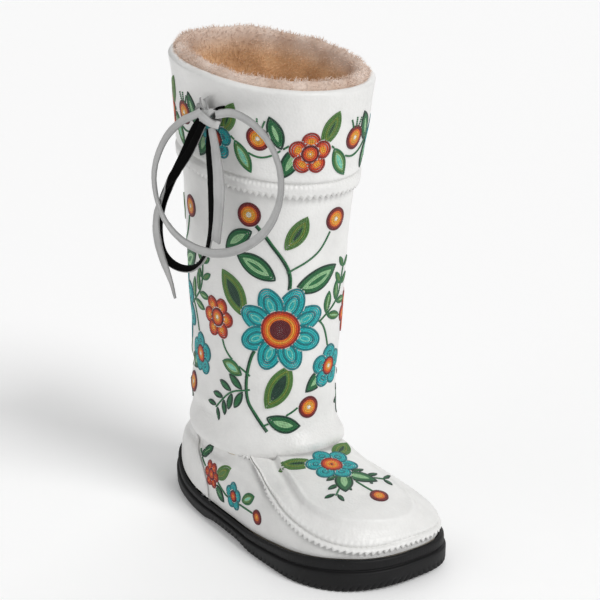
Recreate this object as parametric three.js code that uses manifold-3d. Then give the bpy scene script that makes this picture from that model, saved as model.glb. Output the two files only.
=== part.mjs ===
// Mukluk boot for the wearer's right foot, in millimetres.
// The toe points along +X, the lateral side is -Y and the floor is z = 0.
// x counts from the heel end of the sole; the whole boot is moved at the end so
// that the origin lies on the floor under the heel.
import * as THREE from 'three';
import { mergeVertices } from 'three/addons/utils/BufferGeometryUtils.js';
import loadManifold from 'manifold-3d';

const wasm = await loadManifold();
wasm.setup();

// Driving dimensions
const soleLength = 280;
const lateralHalf = 60;
const medialHalf = 63;
const widestShare = 0.75;
const toeSwing = 10;
const waistLateral = 0.04;
const waistMedial = 0.15;
const toeSpring = 3;
const archRise = 2.5;
const sideHeight = 15;
const heelCupRise = 14;
const toeBumperRise = 10;
const footbedHeight = 12;
const rimWidth = 2.4;
const topInset = 3.2;
const grooveDepth = 3;
const groovePitch = 13;
const grooveWidth = 4.4;
const clearance = 0.3;
const wall = 2.2;
const collarHeight = 362;
const collarLength = 169;
const collarWidth = 126;
const ankleLength = 140;
const ankleWidth = 100;
const instepHeight = 66;
const shaftOffset = 9;
const collarDip = 0.13;
const cuffHeight = 79;
const cuffThickness = 1.8;
const rollThickness = 3.6;
const rollDepth = 9;
const apronThickness = 1.5;
const counterThickness = 1.3;
const fleeceThickness = 7;
const fleeceDepth = 70;
const fleeceStand = 8;
const insoleThickness = 4;
const laceWidth = 6;
const tailWidth = 7;
const laceThickness = 1.2;
const heelOrigin = 39;

// Outline of the sole: two half superellipses about the widest place, with a
// waist pulled in and the toe swung towards the medial side.
function rawEdge(t) {
  const c = Math.cos(t);
  const s = Math.sin(t);
  const nose = s < 0 ? 2.3 : 2.8;
  const heel = s < 0 ? 2.2 : 3.1;
  const power = 2 / (c < 0 ? heel : nose);
  const wide = widestShare * soleLength;
  const reach = c < 0 ? wide : soleLength - wide;
  const x = wide + Math.sign(c) * Math.abs(c) ** power * reach;
  const half = s < 0 ? lateralHalf : medialHalf;
  const waist = s < 0 ? waistLateral : waistMedial;
  const pull = 1 - waist * Math.exp(-(((x / soleLength - 0.45) / 0.14) ** 2));
  const ahead = Math.max(0, (x - wide) / (soleLength - wide));
  const y = Math.sign(s) * Math.abs(s) ** power * half * pull + toeSwing * ahead ** 2;
  return [x, y];
}

// Outline of the sole moved inwards by a distance.
function soleEdge(t, inset) {
  const step = 0.02;
  const [x, y] = rawEdge(t);
  const [ax, ay] = rawEdge(t - step);
  const [bx, by] = rawEdge(t + step);
  const long = Math.hypot(bx - ax, by - ay) || 1;
  return [x - (inset * (by - ay)) / long, y + (inset * (bx - ax)) / long];
}

const smooth = (a, b, v) => {
  const u = Math.min(1, Math.max(0, (v - a) / (b - a)));
  return u * u * (3 - 2 * u);
};
const mix = (a, b, k) => a + (b - a) * k;

// Underside of the sole: flat under heel and forefoot, a low arch, toe spring.
function floorLine(x) {
  const u = x / soleLength;
  const arch = archRise * smooth(0.32, 0.4, u) * (1 - smooth(0.52, 0.6, u));
  return arch + toeSpring * Math.max(0, (u - 0.9) / 0.1) ** 2;
}

// Top of the sole's rim: a cup at the heel, low sides and a raised toe bumper.
function rimLine(x) {
  const u = x / soleLength;
  return sideHeight + heelCupRise * Math.exp(-((u / 0.11) ** 2)) + toeBumperRise * smooth(0.5, 0.95, u);
}

// Closed mesh from a list of rings, with the first and last ring filled by
// strips between their two sides or left joined to each other.
function loft(rings, { filled = true, reverse = false } = {}) {
  const count = rings[0].length;
  const spots = rings.flat(2);
  const faces = [];
  const face = (a, b, c) => faces.push(...(reverse ? [a, c, b] : [a, b, c]));
  const last = filled ? rings.length - 1 : rings.length;
  for (let r = 0; r < last; r += 1) {
    const low = r * count;
    const high = ((r + 1) % rings.length) * count;
    for (let i = 0; i < count; i += 1) {
      const j = (i + 1) % count;
      face(low + i, low + j, high + j);
      face(low + i, high + j, high + i);
    }
  }
  const fill = (base, flip) => {
    for (let i = 0; i < count / 2; i += 1) {
      const a = base + i;
      const b = base + i + 1;
      const c = base + ((count - i - 1) % count);
      const d = base + ((count - i) % count);
      if (b !== c) face(...(flip ? [a, c, b] : [a, b, c]));
      if (a !== d) face(...(flip ? [a, d, c] : [a, c, d]));
    }
  };
  if (filled) {
    fill(0, true);
    fill((rings.length - 1) * count, false);
  }
  const geometry = new THREE.BufferGeometry();
  geometry.setAttribute('position', new THREE.Float32BufferAttribute(spots, 3));
  geometry.setIndex(faces);
  return geometry;
}

const around = 48;
const angles = (count = around) => Array.from({ length: count }, (_, i) => (i / count) * 2 * Math.PI);

// Sections of the upper from the footbed to the collar. On the first rows the
// sole's own outline rules (own = 0); on the others an oval with its own reach.
// toe, back and mid are shares of the sole's length, lateral and medial shares
// of its half widths, front and rear heights shares of the instep height.
const footRows = [
  { inset: 6.2, own: 0.0, rim: 0, lift: 0, toe: 0.975, back: 0.022, mid: 0.75, lateral: 0.9, medial: 0.9,
    front: 0, rear: 0, shift: 0, square: 2.4 },
  { inset: 6.1, own: 0.0, rim: 1, lift: 0.6, toe: 0.975, back: 0.022, mid: 0.75, lateral: 0.9, medial: 0.9,
    front: 0.4, rear: 0.4, shift: 0, square: 2.4 },
  { inset: 6.2, own: 0.0, rim: 1, lift: 4, toe: 0.972, back: 0.024, mid: 0.75, lateral: 0.9, medial: 0.9,
    front: 0.45, rear: 0.45, shift: 0, square: 2.4 },
  { inset: 6.8, own: 0.1, rim: 1, lift: 9, toe: 0.965, back: 0.034, mid: 0.74, lateral: 0.90, medial: 0.86,
    front: 0.55, rear: 0.55, shift: 1, square: 2.4 },
  { inset: 8.0, own: 0.45, rim: 0.5, lift: 15, toe: 0.952, back: 0.044, mid: 0.70, lateral: 0.86, medial: 0.82,
    front: 0.66, rear: 0.64, shift: 1, square: 2.4 },
  { inset: 9.0, own: 0.85, rim: 0, lift: 0, toe: 0.922, back: 0.050, mid: 0.64, lateral: 0.79, medial: 0.74,
    front: 0.76, rear: 0.72, shift: 1, square: 2.4 },
  { inset: 9.0, own: 1.0, rim: 0, lift: 0, toe: 0.868, back: 0.056, mid: 0.57, lateral: 0.73, medial: 0.67,
    front: 0.83, rear: 0.79, shift: 2, square: 2.3 },
  { inset: 9.0, own: 1.0, rim: 0, lift: 0, toe: 0.795, back: 0.064, mid: 0.50, lateral: 0.71, medial: 0.64,
    front: 0.88, rear: 0.84, shift: 3, square: 2.25 },
  { inset: 9.0, own: 1.0, rim: 0, lift: 0, toe: 0.715, back: 0.074, mid: 0.44, lateral: 0.72, medial: 0.64,
    front: 0.92, rear: 0.89, shift: 5, square: 2.2 },
  { inset: 9.0, own: 1.0, rim: 0, lift: 0, toe: 0.650, back: 0.084, mid: 0.38, lateral: 0.75, medial: 0.67,
    front: 0.97, rear: 0.94, shift: 7, square: 2.15 },
];

// Shaft sections: height as a share of the way from instep to collar, length
// and width as a mix of the ankle's (0) and the collar's (1), the centre as a
// share of the sole's length, the sag of both sides as a share of the instep.
const shaftRows = [
  { rise: 0.00, size: 0.00, centre: 0.346, tilt: 0.02, bulge: -0.045, sag: 0.06 },
  { rise: 0.03, size: 0.00, centre: 0.347, tilt: 0.02, bulge: 0.045, sag: 0.08 },
  { rise: 0.08, size: 0.01, centre: 0.340, tilt: 0.01, bulge: -0.025, sag: 0.06 },
  { rise: 0.20, size: 0.06, centre: 0.348, tilt: 0.0, bulge: -0.045, sag: 0.02 },
  { rise: 0.36, size: 0.16, centre: 0.356, tilt: -0.03, bulge: -0.025, sag: 0 },
  { rise: 0.54, size: 0.30, centre: 0.366, tilt: -0.06, bulge: -0.008, sag: 0 },
  { rise: 0.70, size: 0.48, centre: 0.378, tilt: -0.09, bulge: 0, sag: 0 },
  { rise: 0.84, size: 0.72, centre: 0.390, tilt: -0.12, bulge: 0, sag: 0 },
  { rise: 0.94, size: 0.92, centre: 0.400, tilt: -0.13, bulge: 0, sag: 0 },
  { rise: 1.00, size: 1.00, centre: 0.404, tilt: -collarDip, bulge: 0, sag: 0 },
];
const firstShaftRow = footRows.length;
const collarLevel = footRows.length + shaftRows.length - 1;
const footbedTop = footbedHeight + clearance;

// One section's loop at an angle, before rows are blended.
function footSpot(row, t) {
  const c = Math.cos(t);
  const s = Math.sin(t);
  const power = 2 / row.square;
  const mid = row.mid * soleLength;
  const reach = c < 0 ? mid - row.back * soleLength : row.toe * soleLength - mid;
  const ownX = mid + Math.sign(c) * Math.abs(c) ** power * reach;
  const half = s < 0 ? row.lateral * lateralHalf : row.medial * medialHalf;
  const ahead = Math.max(0, (ownX / soleLength - widestShare) / (1 - widestShare));
  const ownY = row.shift + Math.sign(s) * Math.abs(s) ** power * half + toeSwing * ahead ** 2;
  const [edgeX, edgeY] = soleEdge(t, row.inset);
  const x = mix(edgeX, ownX, row.own);
  const y = mix(edgeY, ownY, row.own);
  const along = (x / soleLength - row.back) / (row.toe - row.back);
  const rise = instepHeight * (row.rear + (row.front - row.rear) * Math.min(1, Math.max(0, along)));
  const z = mix(Math.max(footbedTop, rise), rimLine(rawEdge(t)[0]) + row.lift, row.rim);
  return [x, y, row.rim === 0 && row.front === 0 ? footbedTop : z];
}

function shaftSpot(row, t) {
  const long = mix(ankleLength, collarLength, row.size) / 2;
  const broad = mix(ankleWidth, collarWidth, row.size) / 2;
  const centre = row.centre * soleLength;
  const swell = 1 + row.bulge;
  const power = 2 / 2.15;
  const c = Math.cos(t);
  const s = Math.sin(t);
  const x = centre + Math.sign(c) * Math.abs(c) ** power * long * swell;
  const y = shaftOffset + Math.sign(s) * Math.abs(s) ** power * broad * swell;
  const sag = row.sag * instepHeight * s * s;
  return [x, y, mix(instepHeight, collarHeight, row.rise) + row.tilt * (x - centre) - sag];
}

// Point of the upper's outer face: the rows' loops joined by Catmull-Rom curves.
function upperSpot(level, t) {
  const top = collarLevel;
  const v = Math.min(top, Math.max(0, level));
  const k = Math.min(top - 1, Math.floor(v));
  const u = v - k;
  const at = (r) => {
    const row = Math.min(top, Math.max(0, r));
    if (row < firstShaftRow) return footSpot(footRows[row], t);
    return shaftSpot(shaftRows[row - firstShaftRow], t);
  };
  const [p0, p1, p2, p3] = [at(k - 1), at(k), at(k + 1), at(k + 2)];
  return p1.map((b, i) => {
    const [a, c, d] = [p0[i], p2[i], p3[i]];
    return b + 0.5 * u * (c - a + u * (2 * a - 5 * b + 4 * c - d + u * (3 * (b - c) + d - a)));
  });
}

// Outward normal of the upper's outer face.
function upperNormal(level, t) {
  const low = Math.max(0, level - 0.15);
  const high = Math.min(collarLevel, level + 0.15);
  const a = new THREE.Vector3(...upperSpot(low, t));
  const b = new THREE.Vector3(...upperSpot(high, t));
  const c = new THREE.Vector3(...upperSpot(level, t - 0.04));
  const d = new THREE.Vector3(...upperSpot(level, t + 0.04));
  return d.sub(c).cross(b.sub(a)).normalize();
}

// Point at a distance outside (or inside) the upper's outer face.
function offsetSpot(level, t, distance) {
  const n = upperNormal(level, t);
  if (level < 2) n.setZ(0).normalize();
  if (level > collarLevel - 0.5) n.setZ(0).normalize();
  return upperSpot(level, t).map((p, i) => p + n.getComponent(i) * distance);
}

const ring = (level, distance, list) => list.map((t) => offsetSpot(level, t, distance));

// The level at which the upper reaches a height at an angle.
function levelAt(height, t) {
  let low = 0;
  let high = collarLevel;
  for (let i = 0; i < 30; i += 1) {
    const mid = (low + high) / 2;
    if (upperSpot(mid, t)[2] < height) low = mid;
    else high = mid;
  }
  return (low + high) / 2;
}

// Levels of the rings that shape the upper's outer face.
const outerLevels = [0, 1, 2, 3, 4, 4.5, 5, 5.5, 6, 6.5, 7, 8, 9, 10, 11, 12, 13, 15, 17, 19];

// Solid block bounded by the upper's outer face moved out by a distance, drawn
// out past both of its ends where it serves to cut.
function formAt(distance, past = 0) {
  const rings = outerLevels.map((v) => ring(v, distance, angles()));
  const moved = (spots, by) => spots.map(([x, y, z]) => [x, y, z + by]);
  if (past > 0) {
    rings.unshift(moved(rings[0], -past));
    rings.push(moved(rings[rings.length - 1], past));
  }
  return toSolid(loft(rings));
}

// Shell between two such blocks, so that its facets lie along the upper's own.
const shellAt = (inner, outer) => formAt(outer).subtract(formAt(inner, 20));

// Prism across the boot from points of its side view.
function sideCutter(points) {
  const shape = new THREE.Shape(points.map(([x, z]) => new THREE.Vector2(x, z)));
  const broad = 4 * medialHalf;
  const prism = new THREE.ExtrudeGeometry(shape, { depth: broad, bevelEnabled: false });
  prism.rotateX(Math.PI / 2);
  prism.translate(0, broad / 2, 0);
  return toSolid(prism);
}

// Closed mesh from open-ended rings that are each a thin closed section.
function strip(rings, reverse) {
  const count = rings[0].length;
  const half = count / 2;
  const spots = rings.flat(2);
  const faces = [];
  const face = (a, b, c) => faces.push(...(reverse ? [a, c, b] : [a, b, c]));
  for (let r = 0; r < rings.length - 1; r += 1) {
    for (let i = 0; i < count; i += 1) {
      const j = (i + 1) % count;
      const [a, b] = [r * count, (r + 1) * count];
      face(a + i, a + j, b + j);
      face(a + i, b + j, b + i);
    }
  }
  const end = (base, flip) => {
    for (let i = 0; i < half - 1; i += 1) {
      const [a, b, c, d] = [base + i, base + i + 1, base + count - 2 - i, base + count - 1 - i];
      face(...(flip ? [a, c, b] : [a, b, c]));
      face(...(flip ? [a, d, c] : [a, c, d]));
    }
  };
  end(0, true);
  end((rings.length - 1) * count, false);
  const geometry = new THREE.BufferGeometry();
  geometry.setAttribute('position', new THREE.Float32BufferAttribute(spots, 3));
  geometry.setIndex(faces);
  return geometry;
}

// Manifold solids, for cuts and joins
function toSolid(geometry) {
  const plain = new THREE.BufferGeometry();
  plain.setAttribute('position', geometry.getAttribute('position').clone());
  if (geometry.index) plain.setIndex(geometry.index.clone());
  const merged = mergeVertices(plain, 1e-4);
  return new wasm.Manifold(new wasm.Mesh({
    numProp: 3,
    vertProperties: Float32Array.from(merged.getAttribute('position').array),
    triVerts: Uint32Array.from(merged.index.array),
  }));
}

// The largest body of a cut solid: a cut may leave slivers along a crease.
function largest(solid) {
  return solid.decompose().reduce((a, b) => (a.volume() > b.volume() ? a : b));
}

function toGeometry(solid) {
  const mesh = solid.getMesh();
  const geometry = new THREE.BufferGeometry();
  const spots = new Float32Array(mesh.numVert * 3);
  for (let i = 0; i < mesh.numVert; i += 1) {
    for (let k = 0; k < 3; k += 1) spots[i * 3 + k] = mesh.vertProperties[i * mesh.numProp + k];
  }
  geometry.setAttribute('position', new THREE.BufferAttribute(spots, 3));
  geometry.setIndex(Array.from(mesh.triVerts));
  return geometry;
}

// Outsole: rings up the side with its groove and welt band, over the rim and
// down to the footbed, then grooves between the lugs cut across the underside.
function makeOutsole() {
  const list = angles();
  const sideRows = [
    { inset: 2.6, share: 0.0, up: 0 },
    { inset: 0.8, share: 0.0, up: 2 },
    { inset: 0.0, share: 0.30, up: 0 },
    { inset: 0.0, share: 0.56, up: 0 },
    { inset: 0.8, share: 0.66, up: 0 },
    { inset: 2.6, share: 0.69, up: 0 },
    { inset: 2.0, share: 0.75, up: 0 },
    { inset: 2.4, share: 0.96, up: 0 },
    { inset: topInset, share: 1.0, up: 0 },
    { inset: topInset + rimWidth, share: 1.0, up: 0 },
  ];
  const rings = sideRows.map((row) => list.map((t) => {
    const [x, y] = soleEdge(t, row.inset);
    const [ex] = soleEdge(t, 0);
    const low = floorLine(x);
    return [x, y, mix(low, rimLine(ex), row.share) + row.up];
  }));
  rings.push(list.map((t) => [...soleEdge(t, topInset + rimWidth), footbedHeight]));
  let solid = toSolid(loft(rings));
  const lugs = { start: 0.07, heelEnd: 0.34, foreStart: 0.56, end: 0.95 };
  for (let x = lugs.start * soleLength; x < lugs.end * soleLength; x += groovePitch) {
    if (x > lugs.heelEnd * soleLength && x < lugs.foreStart * soleLength) continue;
    const bar = new THREE.BoxGeometry(grooveWidth, lateralHalf * 4, grooveDepth * 2);
    bar.rotateZ(0.12);
    bar.translate(x, 0, floorLine(x) - grooveDepth + 2.2);
    solid = solid.subtract(toSolid(bar));
  }
  return toGeometry(solid);
}

// Upper: outer face from the footbed to the collar, over the rim and down the inner face.
function makeUpper() {
  const innerLevels = [19, 17, 15, 13, 12, 11, 10, 9, 8, 7, 6, 5, 4, 3, 2, 1, 0];
  const rings = outerLevels.map((v) => ring(v, 0, angles()));
  rings.push(...innerLevels.map((v) => ring(v, -wall, angles())));
  return loft(rings, { filled: false });
}

// Insole: a slab on the footbed inside the upper's wall.
function makeInsole() {
  const inset = footRows[0].inset + wall + 0.5;
  const low = footbedHeight + clearance;
  const high = low + insoleThickness;
  const rows = [[inset + 1, low], [inset, low + 1], [inset, high - 1], [inset + 1.5, high]];
  return loft(rows.map(([d, z]) => angles().map((t) => [...soleEdge(t, d), z])));
}

// Height of the apron's seam in the side view, low round the toe and rising to the shaft.
const apronStart = 0.5;
const apronLow = 0.96;
const creaseHeight = 0.95 * instepHeight;
function apronSeam(x) {
  const toe = rimLine(soleLength) + 4;
  const along = (x / soleLength - apronStart) / (apronLow - apronStart);
  return toe + (creaseHeight - toe) * (1 - Math.min(1, Math.max(0, along))) ** 1.3;
}

// Apron: the raised plug over the vamp, cut along its seam.
function makeApron() {
  const end = 1.05 * soleLength;
  const seam = Array.from({ length: 25 }, (_, i) => {
    const x = mix(apronStart * soleLength, end, i / 24);
    return [x, apronSeam(x)];
  });
  const above = sideCutter([...seam, [end, creaseHeight]]);
  const plug = shellAt(clearance, clearance + apronThickness).intersect(above);
  return toGeometry(largest(plug.simplify(0.03)));
}

// Counter: the heel piece, over the rim and cut along its slanting seams.
const counterLow = 0.332;
const counterHigh = 0.207;
function makeCounter() {
  const counterTop = 0.86 * instepHeight;
  const above = (x) => [x, rimLine(x) + 2];
  const low = above(counterLow * soleLength)[1];
  const seam = [1, 0.75, 0.5, 0.25].map((k) => [
    mix(counterLow, counterHigh, k ** 1.8) * soleLength, mix(low, counterTop, k),
  ]);
  const base = [1, 0.85, 0.7, 0.55, 0.4, 0.25, 0.1, 0].map((k) => above(k * counterLow * soleLength));
  const back = -20;
  const corners = [...seam, ...base, [back, rimLine(0) + 2], [back, counterTop]];
  const piece = shellAt(clearance, clearance + counterThickness).intersect(sideCutter(corners));
  return toGeometry(largest(piece.simplify(0.03)));
}

const collarCentre = shaftRows[shaftRows.length - 1].centre * soleLength;
const collarLine = (x, below) => collarHeight - below - collarDip * (x - collarCentre);

// Region above a line that runs with the collar, at a depth below it.
const aboveCollar = (below, over = 60) => sideCutter([
  [-60, collarLine(-60, below)], [soleLength, collarLine(soleLength, below)],
  [soleLength, collarLine(soleLength, -over)], [-60, collarLine(-60, -over)],
]);

// Cuff: the band round the top of the shaft with its rolled collar.
function makeCuff() {
  const band = shellAt(clearance, clearance + cuffThickness).intersect(aboveCollar(cuffHeight));
  const roll = shellAt(clearance, clearance + rollThickness).intersect(aboveCollar(rollDepth));
  return toGeometry(band.add(roll).simplify(0.03));
}

// Fleece: the shearling lining inside the collar, standing proud in lumps.
function makeFleece() {
  const outer = -wall - clearance;
  const pile = shellAt(outer - fleeceThickness, outer).intersect(aboveCollar(fleeceDepth));
  const list = angles(52);
  const tuft = (i, k) => 0.5 + 0.5 * Math.sin(i * 2.4 + k * 1.7) * Math.cos(i * 1.1 - k * 2.3);
  const crown = [
    { inward: wall + 1.2, up: -4 }, { inward: wall + 1.2, up: 0.4 }, { inward: 0.6, up: 1 },
    { inward: 0.2, up: 0.55 * fleeceStand }, { inward: 2.8, up: fleeceStand },
    { inward: 7, up: 0.85 * fleeceStand }, { inward: 10, up: 1 }, { inward: 8, up: -6 },
  ];
  const rings = crown.map((row, k) => list.map((t, i) => {
    const lump = row.up > 2 ? tuft(i, k) - 0.5 : 0;
    const [x, y, z] = offsetSpot(collarLevel, t, -row.inward + 1.4 * lump);
    return [x, y, z + row.up + 2.4 * lump];
  }));
  return toGeometry(pile.add(toSolid(loft(rings, { filled: false }))).simplify(0.05));
}

// Ribbon along a curve: a flat strip whose broad side faces a given way.
function ribbon(points, facing, width) {
  const curve = new THREE.CatmullRomCurve3(points.map((p) => new THREE.Vector3(...p)));
  const steps = 26;
  const rings = [];
  for (let i = 0; i <= steps; i += 1) {
    const p = curve.getPointAt(i / steps);
    const along = curve.getTangentAt(i / steps);
    const face = facing.clone().addScaledVector(along, -facing.dot(along)).normalize();
    const side = along.clone().cross(face).normalize();
    const spot = (a, b) => p.clone().addScaledVector(side, (a * width) / 2)
      .addScaledVector(face, (b * laceThickness) / 2);
    rings.push([spot(-1, -1), spot(1, -1), spot(1, 1), spot(-1, 1)].map((v) => v.toArray()));
  }
  return strip(rings, true);
}

// Bow on the lateral side of the cuff. Its points are chosen by hand, measured
// from the knot: ahead along +X, out from the cuff along -Y, and up.
const bowDepth = 29;
const bowAngle = -1.32;
const bowLevel = levelAt(collarHeight - bowDepth, bowAngle);
const bowBase = offsetSpot(bowLevel, bowAngle, clearance + cuffThickness);
const bowNormal = upperNormal(bowLevel, bowAngle);
const knotStand = 6.3;
const bowCentre = new THREE.Vector3(...bowBase).addScaledVector(bowNormal, knotStand);
const bowSide = new THREE.Vector3(-bowNormal.y, bowNormal.x, 0).normalize();
const bowOut = new THREE.Vector3(bowNormal.x, bowNormal.y, 0).normalize();
// Along is positive towards the toe, out is away from the cuff, up is up.
const bowSpot = ([along, out, up]) => bowCentre.clone().addScaledVector(bowSide, along)
  .addScaledVector(bowOut, out).add(new THREE.Vector3(0, 0, up)).toArray();

const lacePieces = {
  lace_loop_front: [[-3, 7, 5], [-11, 8.7, 1], [-24, 9, -5], [-41, 9, -19], [-54, 9, -41], [-55, 9, -62],
    [-45, 9, -82], [-26, 9, -94], [-1, 9, -98], [23, 9, -94], [47, 9, -83], [65, 9, -68], [76, 9, -49],
    [78, 9, -29], [70, 9, -11], [54, 9, 2], [32, 8.5, 8], [10, 5, 4]],
  lace_loop_back: [[-8, 2, -0.5], [-19, 1.5, -12], [-32, 1, -33], [-47, 1, -55], [-58, 1, -74], [-63, 1, -93],
    [-59, 1, -111], [-44, 1, -119], [-25, 1, -117], [-11, 1, -105], [-4, 1, -87], [-2, 1, -66],
    [-2, 1, -44], [-3, 1, -25], [-2, 1, -9]],
  lace_tail_front: [[3.5, 3.5, -6.5], [9, 5, -24], [11, 5, -43], [10, 5, -66], [6, 5, -90]],
  lace_tail_back: [[-4, 4.8, -4.4], [-20, 5.5, -28], [-41, 5.5, -51], [-56, 5.5, -74], [-60, 5.5, -93],
    [-55, 5.5, -112], [-46, 5.5, -129], [-41, 5.5, -143]],
};

function makeKnot() {
  const core = toSolid(new THREE.SphereGeometry(5.4, 10, 7).scale(1.15, 1, 0.9).rotateX(Math.PI / 2));
  const wrap = toSolid(new THREE.TorusGeometry(4.2, 2.3, 6, 12).rotateY(Math.PI / 2).scale(1.1, 1, 1.2));
  const body = toGeometry(core.add(wrap));
  return body.translate(bowCentre.x, bowCentre.y, bowCentre.z);
}

// The boot
const leather = { color: 0xe9e9e8, roughness: 0.55, metalness: 0 };
const looks = {
  outsole: { color: 0x242426, roughness: 0.7, metalness: 0 },
  upper: leather,
  apron: leather,
  counter: leather,
  cuff: leather,
  fleece: { color: 0xcfae8e, roughness: 1, metalness: 0 },
  insole: { color: 0xc9a27a, roughness: 1, metalness: 0 },
  lace: { color: 0xbdbdbd, roughness: 0.9, metalness: 0 },
};

const boot = new THREE.Group();
function addPiece(name, geometry, look) {
  const flat = geometry.toNonIndexed();
  flat.computeVertexNormals();
  const mesh = new THREE.Mesh(flat, new THREE.MeshStandardMaterial(look));
  mesh.name = name;
  boot.add(mesh);
}

addPiece('outsole', makeOutsole(), looks.outsole);
addPiece('upper', makeUpper(), looks.upper);
addPiece('insole', makeInsole(), looks.insole);
addPiece('apron', makeApron(), looks.apron);
addPiece('counter', makeCounter(), looks.counter);
addPiece('cuff', makeCuff(), looks.cuff);
addPiece('fleece', makeFleece(), looks.fleece);
addPiece('lace_knot', makeKnot(), looks.lace);
Object.entries(lacePieces).forEach(([name, points]) => {
  const width = name.includes('tail') ? tailWidth : laceWidth;
  addPiece(name, ribbon(points.map(bowSpot), bowOut, width), looks.lace);
});

const model = new THREE.Group();
boot.position.set(-heelOrigin, 0, 0);
model.add(boot);

export default model;
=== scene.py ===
# Mukluk boot for the wearer's right foot: the look of each piece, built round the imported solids.
# Sizes are in millimetres in the tables and are turned into metres where meshes are made.
import math
import bpy
import numpy as np
from mathutils import Matrix, Vector
from mathutils.bvhtree import BVHTree


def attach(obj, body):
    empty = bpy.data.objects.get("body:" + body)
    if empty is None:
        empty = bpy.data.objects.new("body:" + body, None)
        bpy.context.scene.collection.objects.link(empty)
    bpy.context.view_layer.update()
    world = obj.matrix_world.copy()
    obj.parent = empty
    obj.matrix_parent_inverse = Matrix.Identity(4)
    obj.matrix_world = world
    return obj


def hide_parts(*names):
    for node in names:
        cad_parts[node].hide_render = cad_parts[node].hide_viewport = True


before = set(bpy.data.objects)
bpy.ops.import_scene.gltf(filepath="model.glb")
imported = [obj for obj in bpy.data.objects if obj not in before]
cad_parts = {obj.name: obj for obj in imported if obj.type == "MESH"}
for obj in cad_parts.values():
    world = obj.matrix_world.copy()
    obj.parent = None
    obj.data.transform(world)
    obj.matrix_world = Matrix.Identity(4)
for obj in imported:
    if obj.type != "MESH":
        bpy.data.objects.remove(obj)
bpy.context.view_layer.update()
millimetre = 0.001
upright = np.array([0, 0, 1.0])
chance = np.random.default_rng(7)


# Camera at the photo's angle: it looks at a point in the shaft from the toe's outer side.
def addCamera():
    view = {"azimuth": 54.743, "elevation": 17.459, "roll": -1.04, "distance": 1.2012,
            "focalPixels": 1554.2, "target": (0.081, 0.0, 0.180), "shift": 0.05}
    a, e, r = (math.radians(view[k]) for k in ("azimuth", "elevation", "roll"))
    back = Vector((math.sin(a) * math.cos(e), -math.cos(a) * math.cos(e), math.sin(e)))
    right = Vector((math.cos(a), math.sin(a), 0))
    up = back.cross(right)
    turnedRight = right * math.cos(r) + up * math.sin(r)
    turnedUp = up * math.cos(r) - right * math.sin(r)
    data = bpy.data.cameras.new("photoCamera")
    data.sensor_width = 36
    data.lens = 36 * view["focalPixels"] / 600
    data.shift_x = view["shift"]
    camera = bpy.data.objects.new("photoCamera", data)
    bpy.context.scene.collection.objects.link(camera)
    turn = Matrix((turnedRight, turnedUp, back)).transposed().to_4x4()
    camera.matrix_world = Matrix.Translation(Vector(view["target"]) + back * view["distance"]) @ turn
    bpy.context.scene.camera = camera


addCamera()
print("camera done")


# One sRGB hex colour as linear numbers: the usual 2.4 power above a short straight part.
def linear(hexColour):
    value = [int(hexColour[i:i + 2], 16) / 255 for i in (1, 3, 5)]
    return tuple(v / 12.92 if v < 0.04045 else ((v + 0.055) / 1.055) ** 2.4 for v in value)


def rgba(hexColour):
    return (*linear(hexColour), 1.0)


# Evenly spaced angles once round.
def ringAngles(count):
    return np.linspace(0, 2 * math.pi, count, endpoint=False)


# Several even runs of numbers, each as its start, end and count, joined in order.
def spans(*runs):
    return np.concatenate([np.linspace(*run) for run in runs])


# Vectors scaled to length one.
def unit(vectors):
    return vectors / np.maximum(np.linalg.norm(vectors, axis=-1, keepdims=True), 1e-9)


# Length from a line's start to each of its points.
def runLength(line):
    return np.concatenate([[0], np.cumsum(np.linalg.norm(np.diff(line, axis=0), axis=1))])


# Mesh object from vertices in millimetres and faces of four or three corners.
def addMesh(name, spots, faces, materials, smooth=True, faceMaterial=None):
    spots = np.asarray(spots, dtype=np.float64).reshape(-1, 3) * millimetre
    faces = [np.asarray(f, dtype=np.int32) for f in faces if len(f)]
    mesh = bpy.data.meshes.new(name)
    mesh.vertices.add(len(spots))
    mesh.vertices.foreach_set("co", spots.ravel())
    corners = np.concatenate([f.ravel() for f in faces])
    sizes = np.concatenate([np.full(len(f), f.shape[1]) for f in faces])
    starts = np.concatenate([[0], np.cumsum(sizes)[:-1]])
    mesh.loops.add(len(corners))
    mesh.loops.foreach_set("vertex_index", corners)
    mesh.polygons.add(len(sizes))
    mesh.polygons.foreach_set("loop_start", starts.astype(np.int32))
    mesh.polygons.foreach_set("use_smooth", np.full(len(sizes), smooth))
    for material in materials:
        mesh.materials.append(material)
    if faceMaterial is not None:
        mesh.polygons.foreach_set("material_index", np.asarray(faceMaterial, dtype=np.int32))
    mesh.update(calc_edges=True)
    mesh.validate()
    piece = bpy.data.objects.new(name, mesh)
    bpy.context.scene.collection.objects.link(piece)
    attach(piece, "root")
    return piece


# Quads of a grid with rows and columns, closed across its columns where it wraps.
def gridFaces(rows, cols, wrap=False, flip=False, start=0):
    index = start + np.arange(rows * cols).reshape(rows, cols)
    if wrap:
        index = np.concatenate([index, index[:, :1]], axis=1)
    a, b = index[:-1, :-1].ravel(), index[:-1, 1:].ravel()
    c, d = index[1:, 1:].ravel(), index[1:, :-1].ravel()
    return np.stack([a, d, c, b] if flip else [a, b, c, d], axis=1)


# A colour for each vertex, kept as an attribute that the material reads.
def paint(piece, colours, name="shade"):
    attribute = piece.data.color_attributes.new(name, "FLOAT_COLOR", "POINT")
    full = np.ones((len(colours), 4))
    full[:, :3] = colours
    attribute.data.foreach_set("color", full.ravel())


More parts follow.
